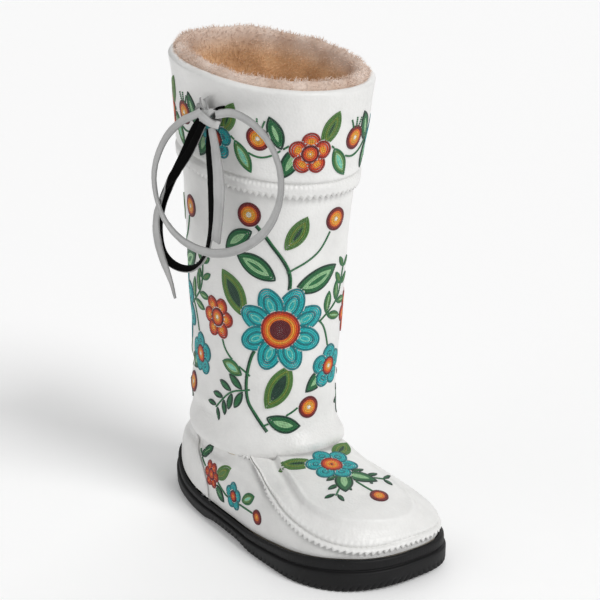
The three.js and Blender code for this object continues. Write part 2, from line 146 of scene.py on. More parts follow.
# Smooth value noise on a lattice: each corner has its own number, blended by cubic steps.
def noise(spots, cell, seed=0):
    p = np.asarray(spots) / cell + 57.3 * (seed + 1)
    base = np.floor(p).astype(np.int64)
    f = p - base
    f = f * f * (3 - 2 * f)
    total = np.zeros(p.shape[:-1])
    for corner in range(8):
        offset = np.array([(corner >> k) & 1 for k in range(3)])
        key = base + offset
        mixed = (key[..., 0] * 73856093) ^ (key[..., 1] * 19349663) ^ (key[..., 2] * 83492791)
        value = ((mixed * 2654435761) % 4294967296) / 4294967296
        weight = np.prod(np.where(offset == 1, f, 1 - f), axis=-1)
        total += weight * value
    return total * 2 - 1


def smooth(a, b, v):
    u = np.clip((v - a) / (b - a), 0, 1)
    return u * u * (3 - 2 * u)


def mix(a, b, k):
    return a + (b - a) * k


def bell(v, centre, width):
    return np.exp(-((v - centre) / width) ** 2)


# The boot's own shape, as in the part's source
size = {"length": 280, "lateral": 60, "medial": 63, "widest": 0.75, "swing": 10, "spring": 3,
        "arch": 2.5, "side": 15, "heelCup": 14, "toeBumper": 10, "footbed": 12, "rim": 2.4,
        "topInset": 3.2, "clearance": 0.3, "wall": 2.2, "collar": 362, "collarLength": 169,
        "collarWidth": 126, "ankleLength": 140, "ankleWidth": 100, "instep": 66, "offset": 9,
        "dip": 0.13, "cuff": 79, "cuffThickness": 1.8, "apronThickness": 1.5,
        "counterThickness": 1.3, "heelOrigin": 39}

footColumns = ("inset", "own", "rim", "lift", "toe", "back", "mid", "lateral", "medial", "front", "rear",
               "shift", "square")
footTable = (
    (6.2, 0.0, 0, 0, 0.975, 0.022, 0.75, 0.9, 0.9, 0, 0, 0, 2.4),
    (6.1, 0.0, 1, 0.6, 0.975, 0.022, 0.75, 0.9, 0.9, 0.4, 0.4, 0, 2.4),
    (6.2, 0.0, 1, 4, 0.972, 0.024, 0.75, 0.9, 0.9, 0.45, 0.45, 0, 2.4),
    (6.8, 0.1, 1, 9, 0.965, 0.034, 0.74, 0.90, 0.86, 0.55, 0.55, 1, 2.4),
    (8.0, 0.45, 0.5, 15, 0.952, 0.044, 0.70, 0.86, 0.82, 0.66, 0.64, 1, 2.4),
    (9.0, 0.85, 0, 0, 0.922, 0.050, 0.64, 0.79, 0.74, 0.76, 0.72, 1, 2.4),
    (9.0, 1.0, 0, 0, 0.868, 0.056, 0.57, 0.73, 0.67, 0.83, 0.79, 2, 2.3),
    (9.0, 1.0, 0, 0, 0.795, 0.064, 0.50, 0.71, 0.64, 0.88, 0.84, 3, 2.25),
    (9.0, 1.0, 0, 0, 0.715, 0.074, 0.44, 0.72, 0.64, 0.92, 0.89, 5, 2.2),
    (9.0, 1.0, 0, 0, 0.650, 0.084, 0.38, 0.75, 0.67, 0.97, 0.94, 7, 2.15))
shaftColumns = ("rise", "size", "centre", "tilt", "bulge", "sag")
shaftTable = (
    (0.00, 0.00, 0.346, 0.02, -0.045, 0.06), (0.03, 0.00, 0.347, 0.02, 0.045, 0.08),
    (0.08, 0.01, 0.340, 0.01, -0.025, 0.06), (0.20, 0.06, 0.348, 0.0, -0.045, 0.02),
    (0.36, 0.16, 0.356, -0.03, -0.025, 0), (0.54, 0.30, 0.366, -0.06, -0.008, 0),
    (0.70, 0.48, 0.378, -0.09, 0, 0), (0.84, 0.72, 0.390, -0.12, 0, 0),
    (0.94, 0.92, 0.400, -0.13, 0, 0), (1.00, 1.00, 0.404, -0.13, 0, 0))
topLevel = len(footTable) + len(shaftTable) - 1


# Outline of the sole: two half superellipses, a waist pulled in, the toe swung inwards.
def rawEdge(t):
    c, s = np.cos(t), np.sin(t)
    power = 2 / np.where(c < 0, np.where(s < 0, 2.2, 3.1), np.where(s < 0, 2.3, 2.8))
    length, wide = size["length"], size["widest"] * size["length"]
    x = wide + np.sign(c) * np.abs(c) ** power * np.where(c < 0, wide, length - wide)
    half = np.where(s < 0, size["lateral"], size["medial"])
    pull = 1 - np.where(s < 0, 0.04, 0.15) * np.exp(-((x / length - 0.45) / 0.14) ** 2)
    ahead = np.maximum(0, (x - wide) / (length - wide))
    return x, np.sign(s) * np.abs(s) ** power * half * pull + size["swing"] * ahead ** 2


# Outline of the sole moved inwards along its own normal.
def soleEdge(t, inset):
    x, y = rawEdge(t)
    ax, ay = rawEdge(t - 0.02)
    bx, by = rawEdge(t + 0.02)
    far = np.maximum(np.hypot(bx - ax, by - ay), 1e-9)
    return x - inset * (by - ay) / far, y + inset * (bx - ax) / far


def floorLine(x):
    u = x / size["length"]
    low = size["arch"] * smooth(0.32, 0.4, u) * (1 - smooth(0.52, 0.6, u))
    return low + size["spring"] * np.maximum(0, (u - 0.9) / 0.1) ** 2


def rimLine(x):
    u = x / size["length"]
    heel = size["heelCup"] * np.exp(-(u / 0.11) ** 2)
    return size["side"] + heel + size["toeBumper"] * smooth(0.5, 0.95, u)


# One row of the upper as a loop: the sole's outline or an oval of its own, at its own height.
def footLoop(row, t):
    c, s = np.cos(t), np.sin(t)
    length = size["length"]
    power = 2 / row["square"]
    mid = row["mid"] * length
    reach = np.where(c < 0, mid - row["back"] * length, row["toe"] * length - mid)
    ownX = mid + np.sign(c) * np.abs(c) ** power * reach
    half = np.where(s < 0, row["lateral"] * size["lateral"], row["medial"] * size["medial"])
    ahead = np.maximum(0, (ownX / length - size["widest"]) / (1 - size["widest"]))
    ownY = row["shift"] + np.sign(s) * np.abs(s) ** power * half + size["swing"] * ahead ** 2
    edgeX, edgeY = soleEdge(t, row["inset"])
    x, y = mix(edgeX, ownX, row["own"]), mix(edgeY, ownY, row["own"])
    along = np.clip((x / length - row["back"]) / (row["toe"] - row["back"]), 0, 1)
    rise = size["instep"] * (row["rear"] + (row["front"] - row["rear"]) * along)
    low = size["footbed"] + size["clearance"]
    z = mix(np.maximum(low, rise), rimLine(rawEdge(t)[0]) + row["lift"], row["rim"])
    if row["rim"] == 0 and row["front"] == 0:
        z = np.full_like(x, low)
    return np.stack([x, y, z], axis=-1)


def shaftLoop(row, t):
    long = mix(size["ankleLength"], size["collarLength"], row["size"]) / 2
    broad = mix(size["ankleWidth"], size["collarWidth"], row["size"]) / 2
    centre = row["centre"] * size["length"]
    c, s = np.cos(t), np.sin(t)
    swell = 1 + row["bulge"]
    x = centre + np.sign(c) * np.abs(c) ** (2 / 2.15) * long * swell
    y = size["offset"] + np.sign(s) * np.abs(s) ** (2 / 2.15) * broad * swell
    z = mix(size["instep"], size["collar"], row["rise"]) + row["tilt"] * (x - centre)
    return np.stack([x, y, z - row["sag"] * size["instep"] * s * s], axis=-1)


def allLoops(t):
    loops = [footLoop(dict(zip(footColumns, row)), t) for row in footTable]
    loops += [shaftLoop(dict(zip(shaftColumns, row)), t) for row in shaftTable]
    return np.stack(loops)


# The outer face at levels (rows by columns) for a list of angles: loops joined by Catmull-Rom.
def faceAt(levels, t):
    loops = allLoops(t)
    v = np.clip(levels, 0, topLevel)
    k = np.minimum(topLevel - 1, np.floor(v).astype(int))
    u = (v - k)[..., None]
    column = np.broadcast_to(np.arange(len(t)), v.shape)
    a, b, c, d = (loops[np.clip(k + step, 0, topLevel), column] for step in (-1, 0, 1, 2))
    return b + 0.5 * u * (c - a + u * (2 * a - 5 * b + 4 * c - d + u * (3 * (b - c) + d - a)))


# The same, moved out along the face's normal by a distance for each point.
def skinAt(levels, t, distance=0.0):
    levels = np.asarray(levels, dtype=float)
    spots = faceAt(levels, t)
    low, high = np.maximum(0, levels - 0.12), np.minimum(topLevel, levels + 0.12)
    along = faceAt(high, t) - faceAt(low, t)
    across = faceAt(levels, t + 0.03) - faceAt(levels, t - 0.03)
    normal = np.cross(across, along)
    flat = (levels < 2) | (levels > topLevel - 0.5)
    normal[..., 2] = np.where(flat, 0, normal[..., 2])
    normal = unit(normal)
    return spots + normal * np.asarray(distance)[..., None], normal


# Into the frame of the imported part, where the origin lies under the heel.
def place(spots):
    return spots - np.array([size["heelOrigin"], 0, 0])


def collarLine(x, below):
    centre = shaftTable[-1][2] * size["length"]
    return size["collar"] - below - size["dip"] * (x - centre)


# Level at which each column crosses a rule that grows with the level.
def levelWhere(rule, t, low=2.0, high=19.0):
    a, b = np.full(len(t), float(low)), np.full(len(t), float(high))
    for _ in range(24):
        middle = (a + b) / 2
        spot = faceAt(middle[None, :], t)[0]
        under = rule(spot) < 0
        a, b = np.where(under, middle, a), np.where(under, b, middle)
    return (a + b) / 2


# Shader node with its settings and links: inputs take a number, a colour or another node's socket.
def addNode(tree, kind, inputs=None, **settings):
    made = tree.nodes.new(kind)
    for key, value in settings.items():
        setattr(made, key, value)
    for key, value in (inputs or {}).items():
        socket = made.inputs[key]
        if isinstance(value, bpy.types.NodeSocket):
            tree.links.new(value, socket)
        else:
            socket.default_value = value
    return made


# Colours along a ramp, each stop a position and a hex colour.
def addRamp(tree, factor, stops):
    ramp = addNode(tree, "ShaderNodeValToRGB", {"Fac": factor})
    while len(ramp.color_ramp.elements) < len(stops):
        ramp.color_ramp.elements.new(0.5)
    for element, (position, colour) in zip(ramp.color_ramp.elements, stops):
        element.position = position
        element.color = rgba(colour)
    return ramp.outputs["Color"]


def newMaterial(name):
    material = bpy.data.materials.new(name)
    material.use_nodes = True
    tree = material.node_tree
    tree.nodes.clear()
    output = addNode(tree, "ShaderNodeOutputMaterial")
    shader = addNode(tree, "ShaderNodeBsdfPrincipled")
    tree.links.new(shader.outputs["BSDF"], output.inputs["Surface"])
    where = addNode(tree, "ShaderNodeTexCoord").outputs["Object"]
    return material, tree, shader, where


# Leather or suede: a mottled colour times the painted shade, grain cells and finer pores as bump.
def hideMaterial(name, stops, roughness, cell, depth, sheen=0.0, painted=True, shine=0.42):
    material, tree, shader, where = newMaterial(name)
    mottle = addNode(tree, "ShaderNodeTexNoise", {"Vector": where, "Scale": 38.0, "Detail": 5.0,
                                                  "Roughness": 0.62})
    colour = addRamp(tree, mottle.outputs["Fac"], stops)
    if painted:
        shade = addNode(tree, "ShaderNodeAttribute", attribute_name="shade")
        product = addNode(tree, "ShaderNodeMix", data_type="RGBA", blend_type="MULTIPLY")
        product.inputs["Factor"].default_value = 1.0
        tree.links.new(colour, product.inputs[6])
        tree.links.new(shade.outputs["Color"], product.inputs[7])
        colour = product.outputs[2]
    tree.links.new(colour, shader.inputs["Base Color"])
    gloss = addNode(tree, "ShaderNodeTexNoise", {"Vector": where, "Scale": 160.0, "Detail": 3.0})
    spread = addNode(tree, "ShaderNodeMapRange", {"Value": gloss.outputs["Fac"], "To Min": roughness - 0.07,
                                                  "To Max": roughness + 0.09})
    tree.links.new(spread.outputs["Result"], shader.inputs["Roughness"])
    cells = addNode(tree, "ShaderNodeTexVoronoi", {"Vector": where, "Scale": 1 / cell}, feature="SMOOTH_F1")
    cells.inputs["Smoothness"].default_value = 0.35
    pores = addNode(tree, "ShaderNodeTexNoise", {"Vector": where, "Scale": 0.45 / cell, "Detail": 6.0})
    height = addNode(tree, "ShaderNodeMath", {0: cells.outputs["Distance"], 1: pores.outputs["Fac"]},
                     operation="ADD")
    bump = addNode(tree, "ShaderNodeBump", {"Height": height.outputs["Value"], "Strength": 0.55,
                                            "Distance": depth})
    tree.links.new(bump.outputs["Normal"], shader.inputs["Normal"])
    shader.inputs["Sheen Weight"].default_value = sheen
    shader.inputs["Specular IOR Level"].default_value = shine
    return material


def rubberMaterial():
    material, tree, shader, where = newMaterial("rubberMouldedBlack")
    wear = addNode(tree, "ShaderNodeTexNoise", {"Vector": where, "Scale": 55.0, "Detail": 6.0,
                                                "Roughness": 0.6})
    colour = addRamp(tree, wear.outputs["Fac"], ((0.3, "#0E0E0F"), (0.6, "#161617"), (0.85, "#1F1F21")))
    tree.links.new(colour, shader.inputs["Base Color"])
    rough = addNode(tree, "ShaderNodeMapRange", {"Value": wear.outputs["Fac"], "To Min": 0.46,
                                                 "To Max": 0.66})
    tree.links.new(rough.outputs["Result"], shader.inputs["Roughness"])
    shader.inputs["Specular IOR Level"].default_value = 0.26
    grit = addNode(tree, "ShaderNodeTexNoise", {"Vector": where, "Scale": 1500.0, "Detail": 2.0})
    bump = addNode(tree, "ShaderNodeBump", {"Height": grit.outputs["Fac"], "Strength": 0.35,
                                            "Distance": 0.00012})
    tree.links.new(bump.outputs["Normal"], shader.inputs["Normal"])
    return material


# Material whose colour is the painted attribute, for beads, wool and thread; its glow, where given, is painted
# light.
def paintedMaterial(name, roughness, sheen=0.0, coat=0.0, grain=None, paintedGlow=0.0):
    material, tree, shader, where = newMaterial(name)
    shade = addNode(tree, "ShaderNodeAttribute", attribute_name="shade")
    tree.links.new(shade.outputs["Color"], shader.inputs["Base Color"])
    # Painted light: the colour also glows, to brighten the wool where it lies in shade.
    if paintedGlow:
        tree.links.new(shade.outputs["Color"], shader.inputs["Emission Color"])
        shader.inputs["Emission Strength"].default_value = paintedGlow
    if grain:
        cellSize, depth = grain
        fuzz = addNode(tree, "ShaderNodeTexNoise", {"Vector": where, "Scale": 1 / cellSize, "Detail": 5.0,
                                                    "Roughness": 0.7})
        bump = addNode(tree, "ShaderNodeBump", {"Height": fuzz.outputs["Fac"], "Strength": 0.8,
                                                "Distance": depth})
        tree.links.new(bump.outputs["Normal"], shader.inputs["Normal"])
        rough = addNode(tree, "ShaderNodeMapRange", {"Value": fuzz.outputs["Fac"], "To Min": roughness - 0.06,
                                                     "To Max": roughness})
        tree.links.new(rough.outputs["Result"], shader.inputs["Roughness"])
    else:
        shader.inputs["Roughness"].default_value = roughness
    shader.inputs["Sheen Weight"].default_value = sheen
    shader.inputs["Coat Weight"].default_value = coat
    return material


whiteLeather = hideMaterial("leatherTannedWhite", ((0.25, "#E2E2E1"), (0.55, "#ECECEB"), (0.8, "#F2F2F1")),
                            0.38, 0.0019, 0.00034)
lining = hideMaterial("leatherFleshSideCream", ((0.3, "#CDBFA9"), (0.7, "#DCD0BC")), 0.9, 0.0015, 0.0002,
                      sheen=0.2, painted=False)
greySuede = hideMaterial("suedeBrushedGrey", ((0.25, "#B2B2B1"), (0.55, "#C4C4C3"), (0.85, "#D1D1D0")),
                         0.88, 0.0007, 0.00022, sheen=0.3)
blackSuede = hideMaterial("suedeReverseBlack", ((0.3, "#020202"), (0.8, "#060606")), 0.92, 0.0007, 0.00012,
                          painted=False, shine=0.1)
rubber = rubberMaterial()
# The wool's glow is painted light.
wool = paintedMaterial("shearlingWoolTan", 0.97, sheen=0.45, grain=(0.0011, 0.0004), paintedGlow=0.17)
felt = paintedMaterial("insoleFeltTan", 0.98, sheen=0.3, grain=(0.0014, 0.0004))
glassBeads = paintedMaterial("beadsGlassSewn", 0.42, coat=0.08)
thread = paintedMaterial("threadWaxedWhite", 0.6)
print("materials done")


# Suede tie: flat ribbons along the routes of the part's source, grey outside and black inside
knotPlace = {"depth": 29, "angle": -1.32, "stand": 6.3, "thickness": 1.7}


# The knot's middle and its own directions: towards the toe, away from the cuff.
def bowFrame():
    t = np.array([knotPlace["angle"]])
    level = levelWhere(lambda spot: spot[:, 2] - (size["collar"] - knotPlace["depth"]), t)
    base, normal = skinAt(level[None, :], t, np.full((1, 1), size["clearance"] + size["cuffThickness"]))
    base, normal = base[0, 0], normal[0, 0]
    centre = place(base + normal * knotPlace["stand"])
    side = np.array([-normal[1], normal[0], 0])
    out = np.array([normal[0], normal[1], 0])
    return centre, side / np.linalg.norm(side), out / np.linalg.norm(out)


bowCentre, bowSide, bowOut = bowFrame()


def bowSpots(points):
    points = np.asarray(points, dtype=float)
    aside, out, up = points[:, :1], points[:, 1:2], points[:, 2:]
    return bowCentre + aside * bowSide + out * bowOut + up * upright


# Catmull-Rom curve through points, with even steps along its length.
def curveThrough(points, steps):
    p = np.asarray(points, dtype=float)
    padded = np.concatenate([[2 * p[0] - p[1]], p, [2 * p[-1] - p[-2]]])
    fine = []
    for i in range(1, len(padded) - 2):
        a, b, c, d = padded[i - 1:i + 3]
        u = np.linspace(0, 1, 24, endpoint=False)[:, None]
        fine.append(b + 0.5 * u * (c - a + u * (2 * a - 5 * b + 4 * c - d + u * (3 * (b - c) + d - a))))
    fine.append(p[-1:])
    fine = np.concatenate(fine)
    far = runLength(fine)
    even = np.linspace(0, far[-1], steps)
    return np.stack([np.interp(even, far, fine[:, k]) for k in range(fine.shape[1])], axis=1)


# Ribbon with a soft section: raised edges on its face, turned about its route by the given twists.
def addRibbon(name, points, twists, widths, steps=150):
    route = curveThrough(bowSpots(points), steps)
    along = np.gradient(route, axis=0)
    along = unit(along)
    face = bowOut - along * (along @ bowOut)[:, None]
    face = unit(face)
    side = np.cross(along, face)
    where = np.linspace(0, 1, steps)
    turn = np.radians(np.interp(where, np.linspace(0, 1, len(twists)), twists))[:, None]
    broad = np.interp(where, np.linspace(0, 1, len(widths)), widths)[:, None] / 2
    face, side = face * np.cos(turn) + side * np.sin(turn), side * np.cos(turn) - face * np.sin(turn)
    half = knotPlace["thickness"] / 2
    section = [(-1, -0.6), (-1.0, 0.5), (-0.88, 1.25), (-0.66, 1.05), (-0.5, 0.7), (0, 0.85), (0.5, 0.7),
               (0.66, 1.05), (0.88, 1.25), (1.0, 0.5), (1, -0.6), (0.85, -1), (0, -0.9), (-0.85, -1)]
    rings = []
    for x, z in section:
        rings.append(route + side * broad * x + face * half * z)
    spots = np.stack(rings, axis=1)
    soft = noise(spots, 3.2, 4) * 0.16 + noise(spots, 1.1, 5) * 0.07
    spots = spots + face[:, None, :] * soft[..., None]
    count = len(section)
    faces = gridFaces(steps, count, wrap=True)
    inside = np.zeros((steps - 1, count), dtype=int)
    inside[:, 10:] = 1
    ends = np.array([list(range(count))[::-1], [(steps - 1) * count + i for i in range(count)]])
    piece = addMesh(name, spots, [faces, ends], [greySuede, blackSuede],
                    faceMaterial=np.concatenate([inside.ravel(), [1, 1]]))
    # Painted shade: the ribbon's edges and back are darkened, and its face relief is lightly shaded.
    edgeShade = np.array([0.45, 0.6, 0.97, 0.9, 0.93, 1, 0.93, 0.9, 0.97, 0.6, 0.45, 0.45, 0.45, 0.45])
    paint(piece, np.tile(edgeShade, steps)[:, None] * np.ones((1, 3)))
    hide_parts(name.replace("suede", "lace"))
    return piece


bowTable = {
    "suede_loop_front": {
        "points": [(-3, 7, 5), (-11, 8.7, 1), (-24, 9, -5), (-41, 9, -19), (-54, 9, -41), (-55, 9, -62),
                   (-45, 9, -82), (-26, 9, -94), (-1, 9, -98), (23, 9, -94), (47, 9, -83), (65, 9, -68),
                   (76, 9, -49), (78, 9, -29), (70, 9, -11), (54, 9, 2), (32, 8.5, 8), (10, 5, 4)],
        "twists": (0, 8, 16, 20, 12, 4, 0, -6, -14, -16, -8, 0),
        "widths": (5.4, 6.6, 6.6, 6.6, 6.6, 6.6, 5.8),
        "exit": "from the knot", "farEnd": "object"},
    "suede_loop_back": {
        "points": [(-8, 2, -0.5), (-19, 1.5, -12), (-32, 1, -33), (-47, 1, -55), (-58, 1, -74), (-63, 1, -93),
                   (-59, 1, -111), (-44, 1, -119), (-25, 1, -117), (-11, 1, -105), (-4, 1, -87), (-2, 1, -66),
                   (-2, 1, -44), (-3, 1, -25), (-2, 1, -9)],
        "twists": (180, 178, 172, 160, 128, 118, 128, 158, 176, 182, 180),
        "widths": (5.2, 7, 7, 6.6, 7, 6.4, 5.2),
        "exit": "from the knot", "farEnd": "object"},
    "suede_tail_front": {
        "points": [(3.5, 3.5, -6.5), (9, 5, -24), (11, 5, -43), (10, 5, -66), (6, 5, -90)],
        "twists": (0, 6, -5, 6, 4), "widths": (6.5, 9.6, 10.4, 10.4, 9.6), "exit": "from the knot",
        "farEnd": "bare"},
    "suede_tail_back": {
        "points": [(-4, 4.8, -4.4), (-20, 5.5, -28), (-41, 5.5, -51), (-56, 5.5, -74), (-60, 5.5, -93),
                   (-55, 5.5, -112), (-46, 5.5, -129), (-41, 5.5, -143)],
        "twists": (180, 180, 176, 60, 14, 0, -8, 0), "widths": (5.6, 6.6, 6.8, 7.4, 8.0, 8.0, 5.4, 0.9),
        "exit": "from the knot", "farEnd": "bare"}}
for name, row in bowTable.items():
    addRibbon(name, row["points"], row["twists"], row["widths"])
print("tie done")


# Knot: a strap wound twice, one crossing it in front, ruffled stubs behind and black ends in the slits
def addKnot():
    strap = {"turns": 2.1, "reach": 5.2, "tall": 5.4, "width": 6.0, "along": 9.0, "steps": 120}
    section = [(-1, -0.5), (-1, 0.6), (-0.8, 1.2), (-0.4, 0.8), (0, 0.9), (0.4, 0.8), (0.8, 1.2), (1, 0.6),
               (1, -0.5), (0, -0.9)]
    # Painted shade: the strap's edges and back are darkened.
    edgeShade = [0.45, 0.6, 0.95, 0.95, 1, 0.95, 0.95, 0.6, 0.45, 0.45]
    spots, quads, caps, tones, marks, capMarks = [], [], [], [], [], []

    def addStrap(line, facing, broad, thick, mark=0):
        start = sum(len(part) for part in spots)
        along = np.gradient(line, axis=0)
        along = unit(along)
        face = facing - along * np.sum(along * facing, axis=1, keepdims=True)
        face = unit(face)
        side = np.cross(along, face)
        half = side * broad[:, None] / 2
        rings = np.stack([line + half * x + face * thick * z for x, z in section], axis=1)
        rings = rings + face[:, None, :] * (noise(rings, 2.4, 8) * 0.3)[..., None]
        spots.append(rings.reshape(-1, 3))
        count, rows = len(section), len(line)
        quads.append(gridFaces(rows, count, wrap=True, start=start))
        marks.append(np.full((rows - 1) * count, mark))
        caps.append(np.array([[start + k for k in range(count)][::-1],
                              [start + (rows - 1) * count + k for k in range(count)]]))
        capMarks.append(np.full(2, mark))
        tones.append(np.tile(edgeShade, rows))

    u = np.linspace(0, 1, strap["steps"])
    angle = u * strap["turns"] * 2 * math.pi - 0.6
    centre = np.stack([strap["along"] * (u - 0.5) + np.sin(angle), 0.3 + strap["reach"] * np.cos(angle),
                       strap["tall"] * np.sin(angle)], axis=1)
    addStrap(centre, centre * np.array([0.15, 1, 1]), np.full(len(u), strap["width"]), 0.8)
    cross = curveThrough([(-10, 2, 3.6), (-6, 6.8, 3.8), (0.5, 8, 1), (6.5, 6.4, -2.4), (9.5, 2, -4.2)], 40)
    addStrap(cross, np.tile([0.0, 1.0, 0.2], (40, 1)), np.full(40, 6.0), 0.85)
    for shift, lean, tall, seed in ((-4.5, -8, 8.5, 1), (-2.0, -4.5, 11.5, 2), (-6, -9.5, 4.5, 3)):
        v = np.linspace(0, 1, 30)
        line = np.stack([shift + lean * v ** 1.3, 1.2 + 1.8 * np.sin(3 * v + seed), 2 + tall * v], axis=1)
        twist = np.stack([0.6 * np.sin(4 * v + seed), np.ones_like(v), 0.4 * np.cos(5 * v)], axis=1)
        addStrap(line, twist, 6.0 + 2.0 * np.sin(7 * v + seed), 0.8)
    for ends in (((3, 1, 5), (6, -1, 7.4), (9, -5, 8)), ((6, 0, 2), (10, -2, 3), (13, -5.6, 2.6))):
        addStrap(curveThrough(ends, 16), np.tile([0.1, 1.0, 0.3], (16, 1)), np.full(16, 2.0), 0.45, mark=1)
    piece = addMesh("suede_knot", bowSpots(np.concatenate(spots)), quads + caps, [greySuede, blackSuede],
                    faceMaterial=np.concatenate(marks + capMarks))
    paint(piece, np.concatenate(tones)[:, None] * np.ones((1, 3)))
    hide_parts("lace_knot")
    return piece


addKnot()


# Grid of leather with its painted shade: darker where it lies in a trough.
def addHide(name, spots, dark, material, wrap=False, flip=False):
    rows, cols = spots.shape[:2]
    piece = addMesh(name, place(spots), [gridFaces(rows, cols, wrap=wrap, flip=flip)], [material])
    tone = np.clip(1 - np.asarray(dark), 0.2, 1.05).reshape(-1, 1)
    paint(piece, tone * np.array([[1.0, 0.995, 0.985]]))
    return piece


def angleGap(t, centre):
    return np.angle(np.exp(1j * (t - centre)))


# Apron: its seam's height falls from the fold to the toe by a power of the way along
apron = {"start": 0.5, "low": 0.96, "crease": 0.95 * size["instep"], "power": 1.3, "tooth": 4.7}


def apronSeam(x):
    toe = rimLine(np.array(float(size["length"]))) + 4
    fall = 1 - np.clip((x / size["length"] - apron["start"]) / (apron["low"] - apron["start"]), 0, 1)
    return toe + (apron["crease"] - toe) * fall ** apron["power"]


# Upper: foot walls and shaft in one skin, with the deep fold where the shaft hangs over the foot
wrinkleTable = (
    # height, slope, depth, breadth, spread round the shaft, middle angle
    (118, 0.16, 1.3, 5, 0.7, 3.9), (134, -0.12, 1.1, 6, 0.8, 2.6), (96, 0.22, 1.0, 4.5, 0.6, 5.1),
    (152, 0.10, 0.8, 7, 0.9, 3.3), (104, -0.20, 1.0, 5, 0.6, 1.3), (88, -0.12, 0.9, 4, 0.5, 4.6),
    (172, 0.14, 0.6, 8, 0.7, 4.5))


def addUpper():
    t = ringAngles(250)
    levels = spans((0.9, 9.1, 42), (9.15, 11.4, 56), (11.5, 18.9, 88))
    v = np.repeat(levels[:, None], len(t), axis=1)
    spots = faceAt(v, t)
    front = 0.5 + 0.5 * np.cos(t)[None, :]
    z = spots[..., 2]
    x = spots[..., 0]
    move = np.zeros_like(v)
    fold = bell(v, 9.78, 0.28)
    move -= (1.3 + 3.9 * front ** 2) * fold
    move += (1.2 + 3.4 * front ** 2) * bell(v, 10.5, 0.42)
    move += 2.4 * bell(z, 101, 10) * bell(angleGap(t, 3.45)[None, :], 0, 0.7)
    move -= 1.2 * bell(z, 86, 7) * bell(angleGap(t, 3.5)[None, :], 0, 0.75)
    for height, slope, deep, broad, spread, centre in wrinkleTable:
        gap = angleGap(t, centre)[None, :]
        line = height + slope * 60 * gap
        move -= deep * bell(z, line, broad) * bell(gap, 0, spread)
        move += 0.6 * deep * bell(z, line + 1.8 * broad, broad) * bell(gap, 0, spread)
    move += 0.75 * noise(spots, 46, 1) * smooth(10, 12, v)
    move += 0.3 * noise(spots, 17, 2) + 0.10 * noise(spots, 6, 3)
    gather = np.sin(x / 2.4 + 3 * np.sin(x / 17)) * bell(v, 9.15, 0.5) * 0.35 * front
    move += gather
    spots, _ = skinAt(v, t, move)
    overhang = bell(v, 10.3, 0.4) * (0.6 + 0.9 * front ** 2)
    spots[..., 2] -= overhang
    # Painted shade in the fold where the shaft hangs over the foot; the next line adds a faint random tone.
    dark = 0.55 * bell(v, 9.86, 0.16) + 0.30 * bell(v, 9.55, 0.16) + 0.10 * bell(v, 9.8, 0.4)
    dark += 0.02 * noise(spots, 30, 9)
    # Painted shadow just under the cuff's lower edge.
    under = collarLine(x, size["cuff"]) - z
    dark += 0.20 * bell(under, 1.5, 2.2)
    # Painted shadow just below the apron's pinked edge.
    below = apronSeam(x) - z
    dark += 0.30 * bell(below, 1.2, 1.9) * smooth(142, 148, x) * (1 - smooth(9.0, 9.4, v))
    piece = addHide("leather_upper", spots, dark, whiteLeather, wrap=True)
    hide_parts("upper")
    inner = spans((18.6, 9, 60), (8.8, 0.2, 40))
    v = np.repeat(inner[:, None], 160, axis=1)
    t = ringAngles(160)
    front = 0.5 + 0.5 * np.cos(t)[None, :]
    spots, _ = skinAt(v, t, -size["wall"] - 1.0 * front ** 2 * bell(v, 9.72, 0.3))
    addHide("leather_inside", spots, np.zeros(v.shape), lining, wrap=True)
    return piece


upper = addUpper()
print("upper done")


# Levels where a rule of the outer face reaches a list of values, column by column.
def levelsFor(rule, targets, t, low, high):
    sample = np.linspace(low, high, 420)
    spots = faceAt(np.repeat(sample[:, None], len(t), axis=1), t)
    values = rule(spots)
    return np.stack([np.interp(targets, values[:, j], sample) for j in range(len(t))], axis=1)


# Pinked edge: a wave of rounded teeth along a length.
def teeth(s, pitch):
    u = (s / pitch) % 1
    return 1 - np.abs(2 * u - 1) ** 1.2 * 2


